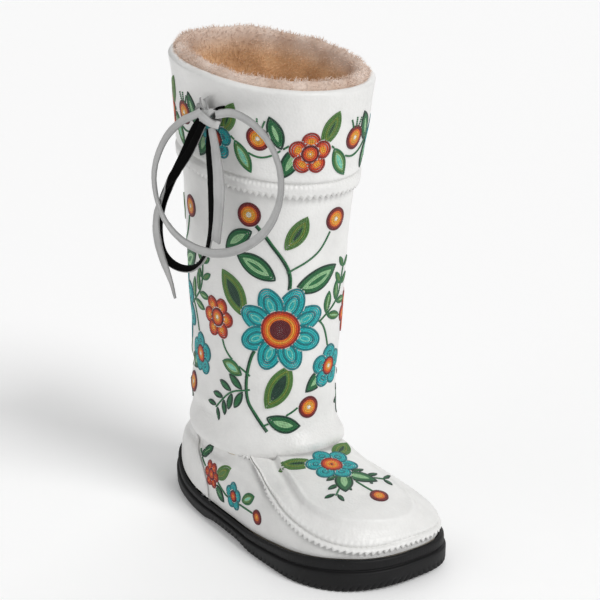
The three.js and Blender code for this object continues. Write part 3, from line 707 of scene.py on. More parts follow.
# Cuff: a band with a pinked lower edge, a stitched step above it and a soft rolled collar
def addCuff():
    t = ringAngles(560)
    ring = faceAt(np.full((1, len(t)), 17.0), t)[0]
    far = runLength(np.concatenate([ring[:, :2], ring[:1, :2]]))
    around = far[-1]
    toothPitch = around / round(around / 5.0)
    tooth = teeth(far[:-1], toothPitch)
    depths = spans((size["cuff"], size["cuff"] - 18, 30), (size["cuff"] - 19.5, 12, 20), (11, 0.4, 12))
    levels = levelsFor(lambda p: p[..., 2] - collarLine(p[..., 0], 0), -depths, t, 9, 19)
    below = np.repeat(depths[:, None], len(t), axis=1)
    edge = size["cuff"]
    band = size["clearance"] + size["cuffThickness"]
    height = edge - below
    out = np.full(below.shape, band)
    out += 0.5 + 1.3 * smooth(0, 3, height) * (1 - smooth(6.6, 9.8, height)) - 1.2 * bell(height, 10.8, 1.3)
    out += 0.3 * np.sin(far[:-1] * 2 * math.pi / 3.4)[None, :] * bell(height, 8.6, 1.3)
    out += 0.4 * bell(height, 14.5, 2.6) + 0.5 * bell(below, 30, 22)
    out += 1.7 * (1 - smooth(0, 16, below))
    spots = faceAt(levels, t)
    out += 0.5 * noise(spots, 40, 11) * smooth(4, 16, below) + 0.12 * noise(spots, 9, 12)
    out += 0.25 * bell(height, 6, 5) * noise(spots, 11, 13)
    spots, normal = skinAt(levels, t, out)
    drop = (1.5 * tooth + 0.5 * noise(np.stack([far[:-1], 0 * t, 0 * t], axis=-1), 4, 21))[None, :]
    spots[..., 2] -= drop * (1 - smooth(0, 5, height))
    skirt = [skinAt(levels[:1], t, np.full((1, len(t)), d))[0] for d in (0.15, 1.0)]
    for row in skirt:
        row[..., 2] -= drop
    rim = faceAt(np.full((1, len(t)), 19.0), t)
    _, outward = skinAt(np.full((1, len(t)), 19.0), t, np.zeros((1, len(t))))
    roll = ((3.7, 0.3), (3, 1.3), (1.9, 1.9), (0.6, 2.1), (-0.7, 1.8), (-1.7, 0.9), (-2.1, -0.6), (-2.2, -4))
    wave = 0.35 * noise(rim, 22, 14)[..., None]
    over = [rim + outward * (a + wave) + upright * (b + wave) for a, b in roll]
    spots = np.concatenate(skirt + [spots] + over)
    # Painted shade: the skirt under the pinked teeth, the stitched trough and the lower edge are darkened.
    dark = np.zeros(spots.shape[:2])
    dark[:2] = 0.32
    dark[2:2 + len(depths)] = 0.14 * bell(height, 10.8, 1.1) + 0.05 * bell(height, 0, 0.8)
    piece = addHide("leather_cuff", spots, dark, whiteLeather, wrap=True)
    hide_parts("cuff")
    body = spots[2:2 + len(depths)]
    row = int(np.argmin(np.abs(edge - depths - 10.8)))
    return piece, np.concatenate([body[row], body[row][:1]])


cuff, cuffSewn = addCuff()
print("cuff done")


# The seam's levels and angles at even steps: found by level on the sides and by angle round the toe.
def apronLine(count):
    t = np.linspace(-1.05, 1.05, 400)
    level = levelWhere(lambda p: p[:, 2] - apronSeam(p[:, 0]), t, 1.5, 9.35)

    def sideAngles(levels, sign):
        angles = np.linspace(2.4, 0.7, 600)
        spots = faceAt(np.repeat(levels[:, None], 600, axis=1), sign * angles)
        over = spots[..., 2] - apronSeam(spots[..., 0])
        return sign * np.array([np.interp(0, row, angles) for row in over])

    lateral, medial = np.linspace(9.3, level[0] + 0.03, 220), np.linspace(level[-1] + 0.03, 9.3, 220)
    levels = np.concatenate([lateral, level, medial])
    angles = np.concatenate([sideAngles(lateral, -1), t, sideAngles(medial, 1)])
    line = faceAt(levels[None, :], angles)[0]
    far = runLength(line)
    even = np.linspace(0, far[-1], count)
    return np.interp(even, far, levels), np.interp(even, far, angles), even


def addApron():
    count = 620
    seam, around, far = apronLine(count)
    k = spans((0, 0.16, 21), (0.17, 0.5, 34), (0.52, 1, 18))[:, None]
    top = 9.62
    levels = seam + (top - seam) * k
    angles = around + (np.linspace(around[0], around[-1], count) - around) * k

    # Levels and angles in pairs, as rows by columns.
    def pairs(level, angle, out):
        found, normal = skinAt(level.reshape(1, -1), angle.ravel(), np.asarray(out).reshape(1, -1))
        return found.reshape(level.shape + (3,)), normal.reshape(level.shape + (3,))

    spots, _ = pairs(levels, angles, np.zeros(levels.shape))
    step = np.concatenate([np.zeros((1, count)), np.linalg.norm(np.diff(spots, axis=0), axis=2)])
    inward = np.cumsum(step, axis=0)
    toFold = inward[-1] - inward
    low = spots[0] - spots[1]
    low = unit(low)
    out = np.full(levels.shape, size["clearance"] + size["apronThickness"])
    out += 0.9 * bell(inward, 1.6, 1.3) - 1.1 * bell(inward, 4.5, 1.0) + 1.0 * bell(inward, 7.2, 1.8)
    out += 0.3 * np.sin(far / 4.7 * 2 * math.pi)[None, :] * bell(inward, 6.6, 1.8)
    ridge = plugRidge(spots)
    out += 2.6 * smooth(-1.5, 1.8, ridge) + 0.9 * bell(ridge, 1.8, 1.6) - 1.3 * bell(ridge, -3.6, 2.8)
    out += 0.35 * noise(spots, 24, 15) + 0.10 * noise(spots, 7, 16)
    for centre, deep in ((7.0, 0.5), (11.0, 0.3)):
        out -= deep * bell(toFold, centre, 1.2) * (0.5 + 0.5 * noise(spots, 20, 17))
    ends = smooth(0, 10, far) * (1 - smooth(far[-1] - 10, far[-1], far))
    out = 0.5 + (out - 0.5) * mix(0.6, 1, ends)[None, :]
    tooth = teeth(far, apron["tooth"]) * ends
    drop = (1.5 * tooth + 0.35 * noise(np.stack([far, 0 * far, 0 * far], axis=-1), 4, 18))[None, :]
    front = 0.5 + 0.5 * np.cos(angles)
    spots, normal = pairs(levels, angles, out)
    spots = spots + low[None] * (drop * (1 - smooth(0, 3.2, inward)))[..., None]
    skirt, _ = pairs(levels[:1], angles[:1], np.full((1, count), 0.2))
    spots = np.concatenate([skirt + low[None] * drop[..., None], spots])
    # Painted shade: the skirt under the pinked teeth, the stitched trough, the edge and the strip under the
    # shaft's overhanging fold are darkened.
    dark = np.zeros(spots.shape[:2])
    dark[0] = 0.34
    dark[1:] = 0.12 * bell(inward, 4.5, 0.8) + 0.05 * bell(inward, 0, 0.6)
    dark[1:] += 0.42 * (1 - smooth(1.0 + 3.4 * front ** 3, 2.8 + 3.6 * front ** 3, toFold))
    piece = addHide("leather_apron", spots, dark, whiteLeather)
    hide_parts("apron")
    flat = spots[1:]
    sewn = np.stack([[np.interp(4.5, inward[:, j], flat[:, j, k]) for k in range(3)] for j in range(count)])
    return piece, sewn[12:-12]


# Distance inside the plug's soft ridge: a U in plan, round at the toe with straight sides.
def plugRidge(spots):
    x, y = spots[..., 0], spots[..., 1]
    plan = {"lateral": 39.0, "medial": 33.5, "taper": 0.27, "flare": 0.08, "straight": 215, "round": 222,
            "toe": 46, "power": 2.2, "swing": 9}
    ahead = np.maximum(0, (x - plan["round"]) / plan["toe"])
    behind = np.maximum(0, plan["straight"] - x)
    across = y - plan["swing"] * np.minimum(ahead, 1) ** 2
    lateral, medial = plan["lateral"] - plan["taper"] * behind, plan["medial"] + plan["flare"] * behind
    half = np.where(across < 0, lateral, medial)
    share = np.abs(across / half) ** plan["power"] + ahead ** plan["power"]
    return (1 - share ** (1 / plan["power"])) * 35


apronPiece, apronSewn = addApron()
print("apron done")


# Counter: the heel panel, ended on both sides by a raised piped seam
counter = {"top": 0.86 * size["instep"], "seamTop": 0.207, "seamLow": 0.332, "power": 1.8, "lift": 2.0}


def counterSeam(z):
    low, high = rimLine(np.array(counter["seamLow"] * size["length"])) + counter["lift"], counter["top"]
    share = np.clip((z - low) / (high - low), 0, 1.2)
    return size["length"] * mix(counter["seamLow"], counter["seamTop"], share ** counter["power"])


def addCounter():
    t = np.linspace(0.9, 2 * math.pi - 0.9, 400)
    share = np.linspace(0, 1, 46)
    full = faceAt(np.repeat(np.linspace(1, 9.5, 300)[:, None], len(t), axis=1), t)
    sample = np.linspace(1, 9.5, 300)
    spots, piping = [], {"lateral": [], "medial": []}
    for k in share:
        low = rimLine(full[0, :, 0]) + counter["lift"]
        target = mix(low, np.full_like(low, counter["top"] + 5), k)
        levels = np.array([np.interp(target[j], full[:, j, 2], sample) for j in range(len(t))])
        row = faceAt(levels[None, :], t)[0]
        behind = row[:, 0] - counterSeam(row[:, 2])
        middle = len(t) // 2
        first = np.interp(0, -behind[:middle], t[:middle])
        last = np.interp(0, behind[middle:], t[middle:])
        columns = np.linspace(first, last, 130)
        level = np.interp(columns, t, levels)
        spot, normal = skinAt(level[None, :], columns, np.full((1, 130), 0.0))
        far = np.minimum(np.linspace(0, 1, 130), np.linspace(1, 0, 130)) * 150
        out = size["clearance"] * smooth(0, 1, far) + size["counterThickness"] * smooth(0, 2, far)
        out = out - 0.35 * bell(far, 4.5, 1.3)
        out = out + 0.25 * noise(spot[0], 18, 19)
        spots.append(spot[0] + normal[0] * out[:, None])
        piping["medial"].append(spot[0, 0] + normal[0, 0] * 0.9)
        piping["lateral"].append(spot[0, -1] + normal[0, -1] * 0.9)
    spots = np.stack(spots)
    piece = addHide("leather_counter", spots, np.zeros(spots.shape[:2]), whiteLeather)
    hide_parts("counter")
    for side, line in piping.items():
        addPiping("piping_" + side, np.array(line), 1.15)
    return piece


# Round piping along a line: a tube that is a little flat against the leather.
def addPiping(name, line, radius):
    line = curveThrough(line[::3], 90)
    along = np.gradient(line, axis=0)
    along = unit(along)
    outward = line - np.array([110, 5, 0])
    outward[:, 2] = 0
    outward -= along * np.sum(outward * along, axis=1, keepdims=True)
    outward = unit(outward)
    side = np.cross(along, outward)
    angle = ringAngles(12)
    spots = np.stack([line + side * radius * 1.15 * math.cos(a) + outward * radius * 0.75 * math.sin(a)
                      for a in angle], axis=1)
    spots = spots + (outward * 0.12)[:, None] * noise(spots, 5, 20)[..., None]
    return addHide(name, spots, np.full(spots.shape[:2], 0.0), whiteLeather, wrap=True, flip=True)


counterPiece = addCounter()
print("counter done")


# Outsole: side profile from the bevelled edge over the sidewall, groove and welt band to the rim
soleProfile = (
    # inset, share of the rim's height, height added
    (3.4, 0.0, 0.0), (2.2, 0.0, 0.1), (1.1, 0.0, 0.7), (0.5, 0.0, 1.7), (0.15, 0.04, 2.4), (0.0, 0.16, 2.0),
    (0.0, 0.30, 0.8), (-0.1, 0.44, 0.2), (-0.1, 0.56, 0), (0.15, 0.605, 0), (0.9, 0.63, 0), (2.1, 0.645, 0),
    (2.4, 0.665, 0), (2.3, 0.68, 0), (1.75, 0.695, 0), (1.5, 0.72, 0), (1.45, 0.80, 0), (1.55, 0.90, 0),
    (1.8, 0.955, 0), (2.4, 0.988, 0), (3.2, 1.0, 0), (4.4, 0.995, 0), (5.3, 0.97, 0), (5.6, 0.90, 0),
    (5.6, 0.70, 0))
grooveTable = {"start": 0.07, "heelEnd": 0.34, "foreStart": 0.56, "end": 0.95, "pitch": 13, "width": 4.4,
               "turn": 0.12, "depth": 2.2}


def addOutsole():
    cols = 1000
    t = ringAngles(cols)
    x0, y0 = rawEdge(t)
    step = np.hypot(np.diff(x0, append=x0[:1]), np.diff(y0, append=y0[:1]))
    far = np.concatenate([[0], np.cumsum(step)[:-1]])
    evenFar = np.linspace(0, far[-1] + step[-1], cols, endpoint=False)
    t = np.interp(evenFar, far, t)
    profile = np.array(soleProfile)
    along = np.linspace(0, len(profile) - 1, 43)
    inset, share, lift = (np.interp(along, np.arange(len(profile)), profile[:, k]) for k in range(3))
    ex, _ = soleEdge(t, 0)
    rows = []
    whole = evenFar[-1] + evenFar[1]
    lugPitch = whole / round(whole / 5.4)
    u = ex / size["length"]
    lugged = smooth(0.34, 0.44, u)
    for d, k, up in zip(inset, share, lift):
        x, y = soleEdge(t, d)
        height = mix(floorLine(x), rimLine(ex), k) + up
        above = height - floorLine(x)
        slant = evenFar + np.where(np.sin(t) < 0, -1, 1) * (above * 0.5 + above ** 2 * 0.05)
        slit = bell(((slant / lugPitch) % 1) - 0.5, 0, 0.12)
        cut = 1.2 * slit * (1 - smooth(3.4, 7.0, above)) * lugged
        rib = 0.09 * np.sin(evenFar * 2 * math.pi / 2.1) * (1 if 0.72 <= k <= 0.96 and d < 2 else 0)
        drift = 0.10 * noise(np.stack([x, y, height], axis=-1), 12, 31)
        x, y = soleEdge(t, d + cut - rib + drift)
        rows.append(np.stack([x, y, height], axis=-1))
    side = np.stack(rows)
    piece = addMesh("rubber_sidewall", place(side), [gridFaces(len(rows), cols, wrap=True)], [rubber])
    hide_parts("outsole")
    addTread()
    return piece


# Underside: lands and slanted grooves, each land with a few shallow sipes.
def addTread():
    t = ringAngles(400)
    x, y = soleEdge(t, 3.4)
    middle = np.clip(x, 26, size["length"] - 26)
    share = spans((0, 0.1, 7), (0.12, 1, 48))[:, None]
    px, py = mix(x, middle, share), mix(y, 0 * y + 3, share)
    g = grooveTable
    turned = px * math.cos(g["turn"]) + py * math.sin(g["turn"])
    start = g["start"] * size["length"]
    offset = ((px + py * math.tan(g["turn"]) - start) / g["pitch"] + 0.5) % 1 - 0.5
    u = (px + py * math.tan(g["turn"])) / size["length"]
    open_ = smooth(g["start"] - 0.02, g["start"] - 0.012, u) * (1 - smooth(g["end"] - 0.012, g["end"], u))
    shank = smooth(g["heelEnd"] - 0.005, g["heelEnd"], u)
    shank = shank * (1 - smooth(g["foreStart"] - 0.005, g["foreStart"], u))
    groove = (1 - smooth(0.13, 0.19, np.abs(offset))) * open_ * (1 - shank)
    fine = 0.35 * (1 - smooth(0.10, 0.22, np.abs(((turned / 2.6) % 1) - 0.5))) * (1 - groove) * (1 - shank)
    inside = smooth(0.0, 0.03, share)
    pz = floorLine(px) + (g["depth"] * groove * 0.95 + fine * smooth(0.03, 0.08, share)) * inside
    piece = addMesh("rubber_tread", place(np.stack([px, py, pz], axis=-1)),
                    [gridFaces(px.shape[0], px.shape[1], wrap=True, flip=True)], [rubber])
    return piece


addOutsole()
print("outsole done")


# Insole: felt-topped footbed inside the upper
def addInsole():
    t = ringAngles(200)
    edge = footTable[0][0] + size["wall"] + 0.5
    low = size["footbed"] + size["clearance"]
    rows = []
    for inset, rise in ((1, 0), (0, 1), (0, 3), (0.5, 3.7), (1.6, 4)):
        x, y = soleEdge(t, edge + inset)
        rows.append(np.stack([x, y, np.full_like(x, low + rise)], axis=-1))
    x, y = soleEdge(t, edge + 1.6)
    middle = np.clip(x, 40, size["length"] - 40)
    for k in np.linspace(0.05, 1, 24):
        px, py = mix(x, middle, k), mix(y, 0 * y + 3, k)
        spots = np.stack([px, py, np.full_like(px, low + 4)], axis=-1)
        spots[..., 2] += 0.35 * noise(spots, 5, 41) - 0.9 * smooth(0.1, 0.6, k)
        rows.append(spots)
    spots = np.stack(rows)
    faces = gridFaces(len(rows), len(t), wrap=True)
    piece = addMesh("felt_insole", place(spots), [faces], [felt])
    tone = 0.85 + 0.12 * noise(spots, 6, 42).reshape(-1, 1)
    paint(piece, tone * np.array([linear("#C9A27A")]))
    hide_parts("insole")


addInsole()


# Fleece: a lumpy roll of wool inside the collar, then thousands of short bent locks on it
woolTable = {"deep": 70, "stand": 8, "thick": 7, "rimColour": "#E0CDC0", "midColour": "#E3BC92",
             "deepColour": "#D39E66", "shadowColour": "#A9774A"}


fleeceSection = (
    # inward from the rim, height above it
    (1.7, -1.5), (1.2, 1.0), (1.3, 3.0), (2.0, 5.0), (3.4, 6.6), (5.2, 7.2), (7.2, 6.6), (8.9, 4.6),
    (9.6, 2.0), (9.8, -2.0))


def addFleece():
    t = ringAngles(420)
    full = np.full((1, len(t)), 19.0)
    rim = faceAt(full, t)[0]
    _, outward = skinAt(full, t, np.zeros((1, len(t))))
    outward = outward[0]
    bulk = 1 + 0.10 * noise(rim, 26, 50)
    rows = [rim - outward * (d * bulk[:, None]) + upright * (h * bulk[:, None]) for d, h in fleeceSection]
    depths = np.linspace(5, woolTable["deep"] - 2, 40)
    levels = levelsFor(lambda p: p[..., 2] - collarLine(p[..., 0], 0), -depths, t, 9, 19)
    inset = -(size["wall"] + size["clearance"] + woolTable["thick"])
    lower, _ = skinAt(levels, t, np.full(levels.shape, inset))
    bottom, _ = skinAt(levels[-1:], t, np.full((1, len(t)), inset + 5))
    spots = np.concatenate([np.stack(rows), lower, bottom - upright * 1.5])
    across = np.roll(spots, -1, 1) - np.roll(spots, 1, 1)
    down = np.gradient(spots, axis=0)
    normal = np.cross(across, down)
    normal = unit(normal)
    lumps = 0.9 * noise(spots, 10, 51) + 0.55 * noise(spots, 4.4, 52) + 0.3 * noise(spots, 2.1, 53)
    spots = spots + normal * lumps[..., None]
    below = np.concatenate([[h for _, h in fleeceSection], -depths, [-woolTable["deep"]]])[:, None]
    tone = woolTone(spots, np.repeat(below, len(t), axis=1), lumps)
    piece = addMesh("wool_pile", place(spots), [gridFaces(len(spots), len(t), wrap=True)], [wool])
    # Painted shade: the pile under the locks is painted a little darker than the locks.
    paint(piece, tone.reshape(-1, 3) * 0.86)
    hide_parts("fleece")
    hairy = 42
    addLocks(spots[:hairy], normal[:hairy], tone[:hairy])


# Wool colour: pale at the rim, golden inside, with painted shade in its hollows and in random patches.
def woolTone(spots, below, lumps):
    parts = ("rimColour", "midColour", "deepColour", "shadowColour")
    rim, mid, deep, shadow = (np.array(linear(woolTable[part])) for part in parts)
    share = np.clip((2 - below) / 16, 0, 1)[..., None]
    lower = np.clip((-below - 12) / 45, 0, 1)[..., None]
    base = mix(mix(rim, mid, share), deep, lower)
    patch = np.clip(0.5 + 0.8 * noise(spots, 13, 54) - 0.25 * lumps, 0, 1)[..., None]
    return mix(mix(base, shadow, 0.42), base * 1.04, patch)


# Locks: thin three-sided cones, each bent towards a direction of its own.
def addLocks(spots, normal, tone):
    rows, cols = spots.shape[:2]
    for part in range(2):
        count = 6400
        r = chance.random(count) ** 1.35 * (rows - 2) + 0.5
        c = chance.integers(0, cols, count)
        base = r.astype(int)
        f = (r - base)[:, None]
        root = mix(spots[base, c], spots[base + 1, c], f) + chance.normal(0, 0.35, (count, 3))
        up = normal[base, c]
        colour = tone[base, c] * (1 + chance.normal(0, 0.07, (count, 1)))
        lean = chance.normal(0, 1, (count, 3))
        lean -= up * np.sum(lean * up, axis=1, keepdims=True)
        lean = unit(lean)
        away = np.cross(up, lean)
        tall = chance.uniform(1.6, 3.6, (count, 1)) * np.where(base[:, None] > 12, 1.25, 1.0)
        curl = chance.uniform(0.5, 1.5, (count, 1))
        wide = chance.uniform(0.15, 0.30, (count, 1))
        rings = []
        for k, thin in ((0, 1.0), (0.38, 0.85), (0.72, 0.6)):
            middle = root + up * tall * k * (1 - 0.18 * k) + lean * tall * curl * 0.62 * k ** 2
            middle = middle - up * 0.4 * (k == 0)
            middle = middle + away * tall * 0.16 * np.sin(3.4 * k)
            for a in (0, 2.1, 4.2):
                rings.append(middle + (lean * math.cos(a) + away * math.sin(a)) * wide * thin)
        tip = root + up * tall * 0.86 + lean * tall * curl * 0.66
        verts = np.stack(rings + [tip], axis=1)
        start = (np.arange(count) * 10)[:, None]
        quads, tris = [], []
        for k in (0, 1):
            for a in range(3):
                b = (a + 1) % 3
                quads.append(start + np.array([[k * 3 + a, k * 3 + b, k * 3 + 3 + b, k * 3 + 3 + a]]))
        for a in range(3):
            tris.append(start + np.array([[6 + a, 6 + (a + 1) % 3, 9]]))
        # Painted shade at each lock's root and painted light towards its tip.
        shades = colour[:, None] * np.array([0.82] * 3 + [0.98] * 3 + [1.1] * 3 + [1.2])[None, :, None]
        faces = [np.concatenate(quads), np.concatenate(tris)]
        piece = addMesh(f"wool_locks_{part}", place(verts), faces, [wool])
        paint(piece, np.clip(shades, 0, 1).reshape(-1, 3))


addFleece()
print("fleece done")


# Beadwork: motifs laid flat in millimetres as rows of beads, then sewn down on the leather
beadTable = {"row": 1.45, "along": 1.22, "tall": 0.95}
beadColours = {
    "deep": "#1B4A38", "leaf": "#2C7A4B", "moss": "#5F8C48", "olive": "#7E9440", "pale": "#A3CF9F",
    "aqua": "#78D2C6", "turquoise": "#1FBABD", "teal": "#11878E", "white": "#EFEBDD", "yellow": "#EFB03C",
    "orange": "#EC7F24", "red": "#D94B20", "brick": "#9B2B1F", "maroon": "#6F1D2A"}
palettes = {
    "sky": ("teal", "turquoise", "turquoise", "teal", "turquoise", "aqua", "turquoise"),
    "ember": ("brick", "red", "orange", "yellow", "orange", "maroon", "maroon"),
    "berry": ("maroon", "brick", "orange", "yellow", "yellow", "white"),
    "sun": ("maroon", "red", "orange", "yellow", "white"),
    "leaf": ("deep", "leaf", "leaf", "pale", "pale", "leaf"),
    "moss": ("moss", "moss", "olive", "moss", "deep", "deep", "deep"),
    "sage": ("leaf", "moss", "pale", "aqua", "pale")}


# Closed row of a motif, inset from its outline: an oval whose ends draw out to points.
def ovalRow(long, wide, inset, tip, tail):
    l, w = long - inset * (1 + 0.55 * max(tip, tail)), wide - inset
    if w < 0.2 * beadTable["row"] or l < 0.3:
        return None
    a = np.linspace(0, 2 * math.pi, 160)
    power = 1 + (tip * (1 + np.cos(a)) + tail * (1 - np.cos(a))) / 2
    return np.stack([l * np.cos(a), w * np.sign(np.sin(a)) * np.abs(np.sin(a)) ** power], axis=1)


# Beads along a line at an even spacing.
def beadsAlong(line, closed=True):
    far = runLength(line)
    count = max(1, int(round(far[-1] / beadTable["along"])))
    even = np.linspace(0, far[-1], count, endpoint=not closed)
    spots = np.stack([np.interp(even, far, line[:, k]) for k in range(2)], axis=1)
    ahead = np.stack([np.interp(np.minimum(even + 0.4, far[-1]), far, line[:, k])
                      - np.interp(np.maximum(even - 0.4, 0), far, line[:, k]) for k in range(2)], axis=1)
    return np.concatenate([spots, ahead], axis=1)


class Beading:
    def __init__(self):
        self.beads = np.zeros((0, 4))
        self.colours = []

    # A motif on top hides the beads that it covers.
    def clear(self, covers):
        if len(self.beads):
            keep = ~covers(self.beads[:, :2])
            self.beads = self.beads[keep]
            self.colours = [c for c, k in zip(self.colours, keep) if k]

    def add(self, beads, colour):
        self.beads = np.concatenate([self.beads, beads])
        self.colours += [colour] * len(beads)

    def oval(self, centre, long, wide, turn, palette, tip=0.0, tail=0.0, bend=0.0):
        c, s = math.cos(math.radians(turn)), math.sin(math.radians(turn))
        grow = beadTable["row"] * 0.35

        def covers(p):
            q = p - np.array(centre)
            x, y = q[:, 0] * c + q[:, 1] * s, -q[:, 0] * s + q[:, 1] * c
            y = y - bend * (x / long) ** 2
            u = np.clip(x / (long + grow), -1, 1)
            power = 1 + (tip * (1 + u) + tail * (1 - u)) / 2
            return (np.abs(y) < (wide + grow) * (1 - u ** 2) ** (power / 2)) & (np.abs(x) < long + grow)

        self.clear(covers)
        tones = palettes[palette]
        k = 0
        while True:
            line = ovalRow(long, wide, (k + 0.5) * beadTable["row"], tip, tail)
            if line is None:
                break
            line = line + np.stack([0 * line[:, 0], bend * (line[:, 0] / long) ** 2], axis=1)
            turned = np.stack([line[:, 0] * c - line[:, 1] * s, line[:, 0] * s + line[:, 1] * c], axis=1)
            self.add(beadsAlong(turned + np.array(centre)), tones[min(k, len(tones) - 1)])
            k += 1
        rest = (k - 0.5) * beadTable["row"]
        l, w = long - rest * (1 + 0.55 * max(tip, tail)) - 0.6, wide - rest - 0.6
        if min(l, w) > 0.1:
            x, y = (v.ravel() for v in np.meshgrid(np.arange(-4, 5) * beadTable["along"],
                                                   np.arange(-4, 5) * beadTable["row"]))
            within = (x / l) ** 2 + (y / w) ** 2 < 1
            x, y = x[within], y[within]
            spots = (x * c - y * s + centre[0], x * s + y * c + centre[1])
            filler = np.stack([*spots, 0 * x + 0.8 * c, 0 * x + 0.8 * s], axis=1)
            self.add(filler, tones[min(k, len(tones) - 1)])

    # Flower: petals round a middle, each petal an oval pointing outwards, then a ringed disc.
    def flower(self, centre, reach, petals, palette, middle, turn=0.0, share=0.42):
        for i in range(petals):
            angle = turn + 360 * i / petals
            way = np.array([math.cos(math.radians(angle)), math.sin(math.radians(angle))])
            long = reach * 0.42
            wide = min(reach * 0.60 * math.sin(math.pi / petals) * 1.22, long * 1.1)
            self.oval(tuple(np.array(centre) + way * reach * 0.60), long, wide, angle, palette, tail=0.5)
        self.oval(centre, reach * share, reach * share, 0, middle)

    def stem(self, points, rows=1):
        line = curveThrough(np.array(points, dtype=float), 240)
        along = np.gradient(line, axis=0)
        along = unit(along)
        side = np.stack([-along[:, 1], along[:, 0]], axis=1)
        for k in range(rows):
            offset = (k - (rows - 1) / 2) * beadTable["row"]
            tone = ("leaf", "deep")[k % 2] if rows > 1 else "leaf"
            self.add(beadsAlong(line + side * offset, closed=False), tone)

    # Fern sprig: a stem with pairs of small pointed leaves that grow shorter towards its end.
    def fern(self, points, pairs, long, palette="leaf"):
        self.stem(points)
        line = curveThrough(np.array(points, dtype=float), 60)
        for i in range(pairs):
            k = int(8 + 48 * i / max(1, pairs - 1))
            ahead = line[min(k + 2, 59)] - line[k - 2]
            angle = math.degrees(math.atan2(ahead[1], ahead[0]))
            l = long * (1 - 0.45 * i / pairs)
            for side in (-1, 1):
                turn = angle + side * 48
                way = np.array([math.cos(math.radians(turn)), math.sin(math.radians(turn))])
                self.oval(tuple(line[k] + way * (l + 1.2)), l, l * 0.40, turn, palette, tip=0.8, tail=0.8)


# Shaft design, one of three alike round the leg, across in the first number and up in the second
def shaftDesign(across):
    art = Beading()

    def at(x, y):
        return (across + x, y)

    art.stem([at(-6, 86), at(-24, 112), at(-20, 146), at(2, 176), at(10, 212), at(-6, 240), at(-20, 256)],
             rows=2)
    art.stem([at(-22, 130), at(-46, 146), at(-54, 170)])
    art.stem([at(4, 180), at(36, 174), at(50, 142)])
    art.stem([at(8, 216), at(30, 230), at(42, 250)])
    art.stem([at(-8, 90), at(16, 102), at(28, 112)])
    art.fern([at(-22, 118), at(-42, 112), at(-60, 96)], 4, 9.0)
    art.fern([at(36, 174), at(56, 190), at(62, 214)], 4, 9.0, "sage")
    for x, y, long, wide, turn, palette in (
            (-36, 196, 21, 10, 122, "moss"), (-16, 220, 19, 8.5, 150, "leaf"), (32, 208, 20, 9, 24, "leaf"),
            (4, 122, 21, 10, 62, "moss"), (-40, 134, 12, 6, 160, "sage"), (-32, 240, 15, 7, 215, "leaf"),
            (14, 246, 15, 7, 60, "moss"), (8, 92, 15, 7, -14, "leaf"), (38, 126, 15, 7, 215, "leaf")):
        art.oval(at(x, y), long, wide, turn, palette, tip=0.9, tail=0.7, bend=1.2)
    art.flower(at(4, 170), 35, 8, "sky", "ember", 22.5, 0.44)
    art.flower(at(-56, 172), 18, 6, "ember", "sun", 0, 0.42)
    art.flower(at(50, 134), 18, 5, "sky", "sun", 18, 0.42)
    for x, y, r in ((-22, 260, 9.5), (44, 254, 9), (30, 104, 9)):
        art.oval(at(x, y), r, r, 0, "berry")
    return art


# Cuff design: a wave of vine with flowers and leaves in its bends, up measured from the cuff's edge
def cuffDesign(around):
    art = Beading()
    bends = 6
    span = around / bends
    wave = [(span * k / 8, 38 + 9 * math.sin(2 * math.pi * k / 8)) for k in range(8 * bends + 1)]
    art.stem(wave, rows=1)
    for i in range(bends):
        x = span * i
        art.oval((x + span * 0.06, 28), 14, 6.5, 245, "leaf", tip=0.9, tail=0.7)
        art.oval((x + span * 0.44, 53), 14, 6.5, 65, "moss", tip=0.9, tail=0.7)
        art.oval((x + span * 0.58, 27), 13, 6, -60, "sage", tip=0.9, tail=0.7)
        art.oval((x + span * 0.92, 49), 13, 6, 110, "leaf", tip=0.9, tail=0.7)
        art.flower((x + span * 0.25, 35), 16, 5, "sky" if i % 2 else "ember", "sun", 90, 0.42)
        art.oval((x + span * 0.75, 43), 9, 9, 0, "berry")
        for lean in (-22, 0, 22):
            way = math.radians(90 + lean)
            base = (x + span * 0.75 + 8.5 * math.cos(way), 43 + 8.5 * math.sin(way))
            tip = (base[0] + 6 * math.cos(way), base[1] + 6 * math.sin(way))
            art.stem([base, ((base[0] + tip[0]) / 2, (base[1] + tip[1]) / 2), tip])
    return art


# Side of the foot, across along the foot from the heel and up from the floor
def sideDesign():
    art = Beading()
    art.stem([(74, 50), (86, 41), (104, 37), (124, 29), (148, 30), (172, 31)])
    art.oval((84, 52), 9, 4.4, 40, "leaf", tip=0.9, tail=0.7)
    art.oval((115, 45), 12, 5.6, 35, "moss", tip=0.9, tail=0.7)
    art.oval((112, 27), 9, 4.4, -35, "leaf", tip=0.9, tail=0.7)
    art.oval((156, 39), 10, 4.6, 30, "sage", tip=0.9, tail=0.7)
    art.flower((98, 38), 11.5, 6, "ember", "sun", 0, 0.42)
    art.flower((134, 33), 11.5, 5, "sky", "sun", 20, 0.42)
    art.oval((171, 30), 6, 6, 0, "berry")
    return art


# Top of the vamp, across along the foot and up towards its medial side
def vampDesign():
    art = Beading()
    art.stem([(186, 4), (206, 3), (226, 4), (246, 6)])
    art.fern([(204, 4), (220, 15), (228, 26)], 3, 6.5)
    art.fern([(204, 2), (220, -10), (228, -20)], 3, 6.5)
    for x, y, turn, palette in ((178, 24, 125, "moss"), (178, -18, 235, "moss"), (217, 10, 34, "leaf"),
                                (217, -4, -34, "leaf")):
        art.oval((x, y), 15, 7, turn, palette, tip=0.9, tail=0.7)
    art.flower((193, 3), 20, 6, "sky", "ember", 0, 0.42)
    art.oval((246, 6), 7, 7, 0, "berry")
    return art


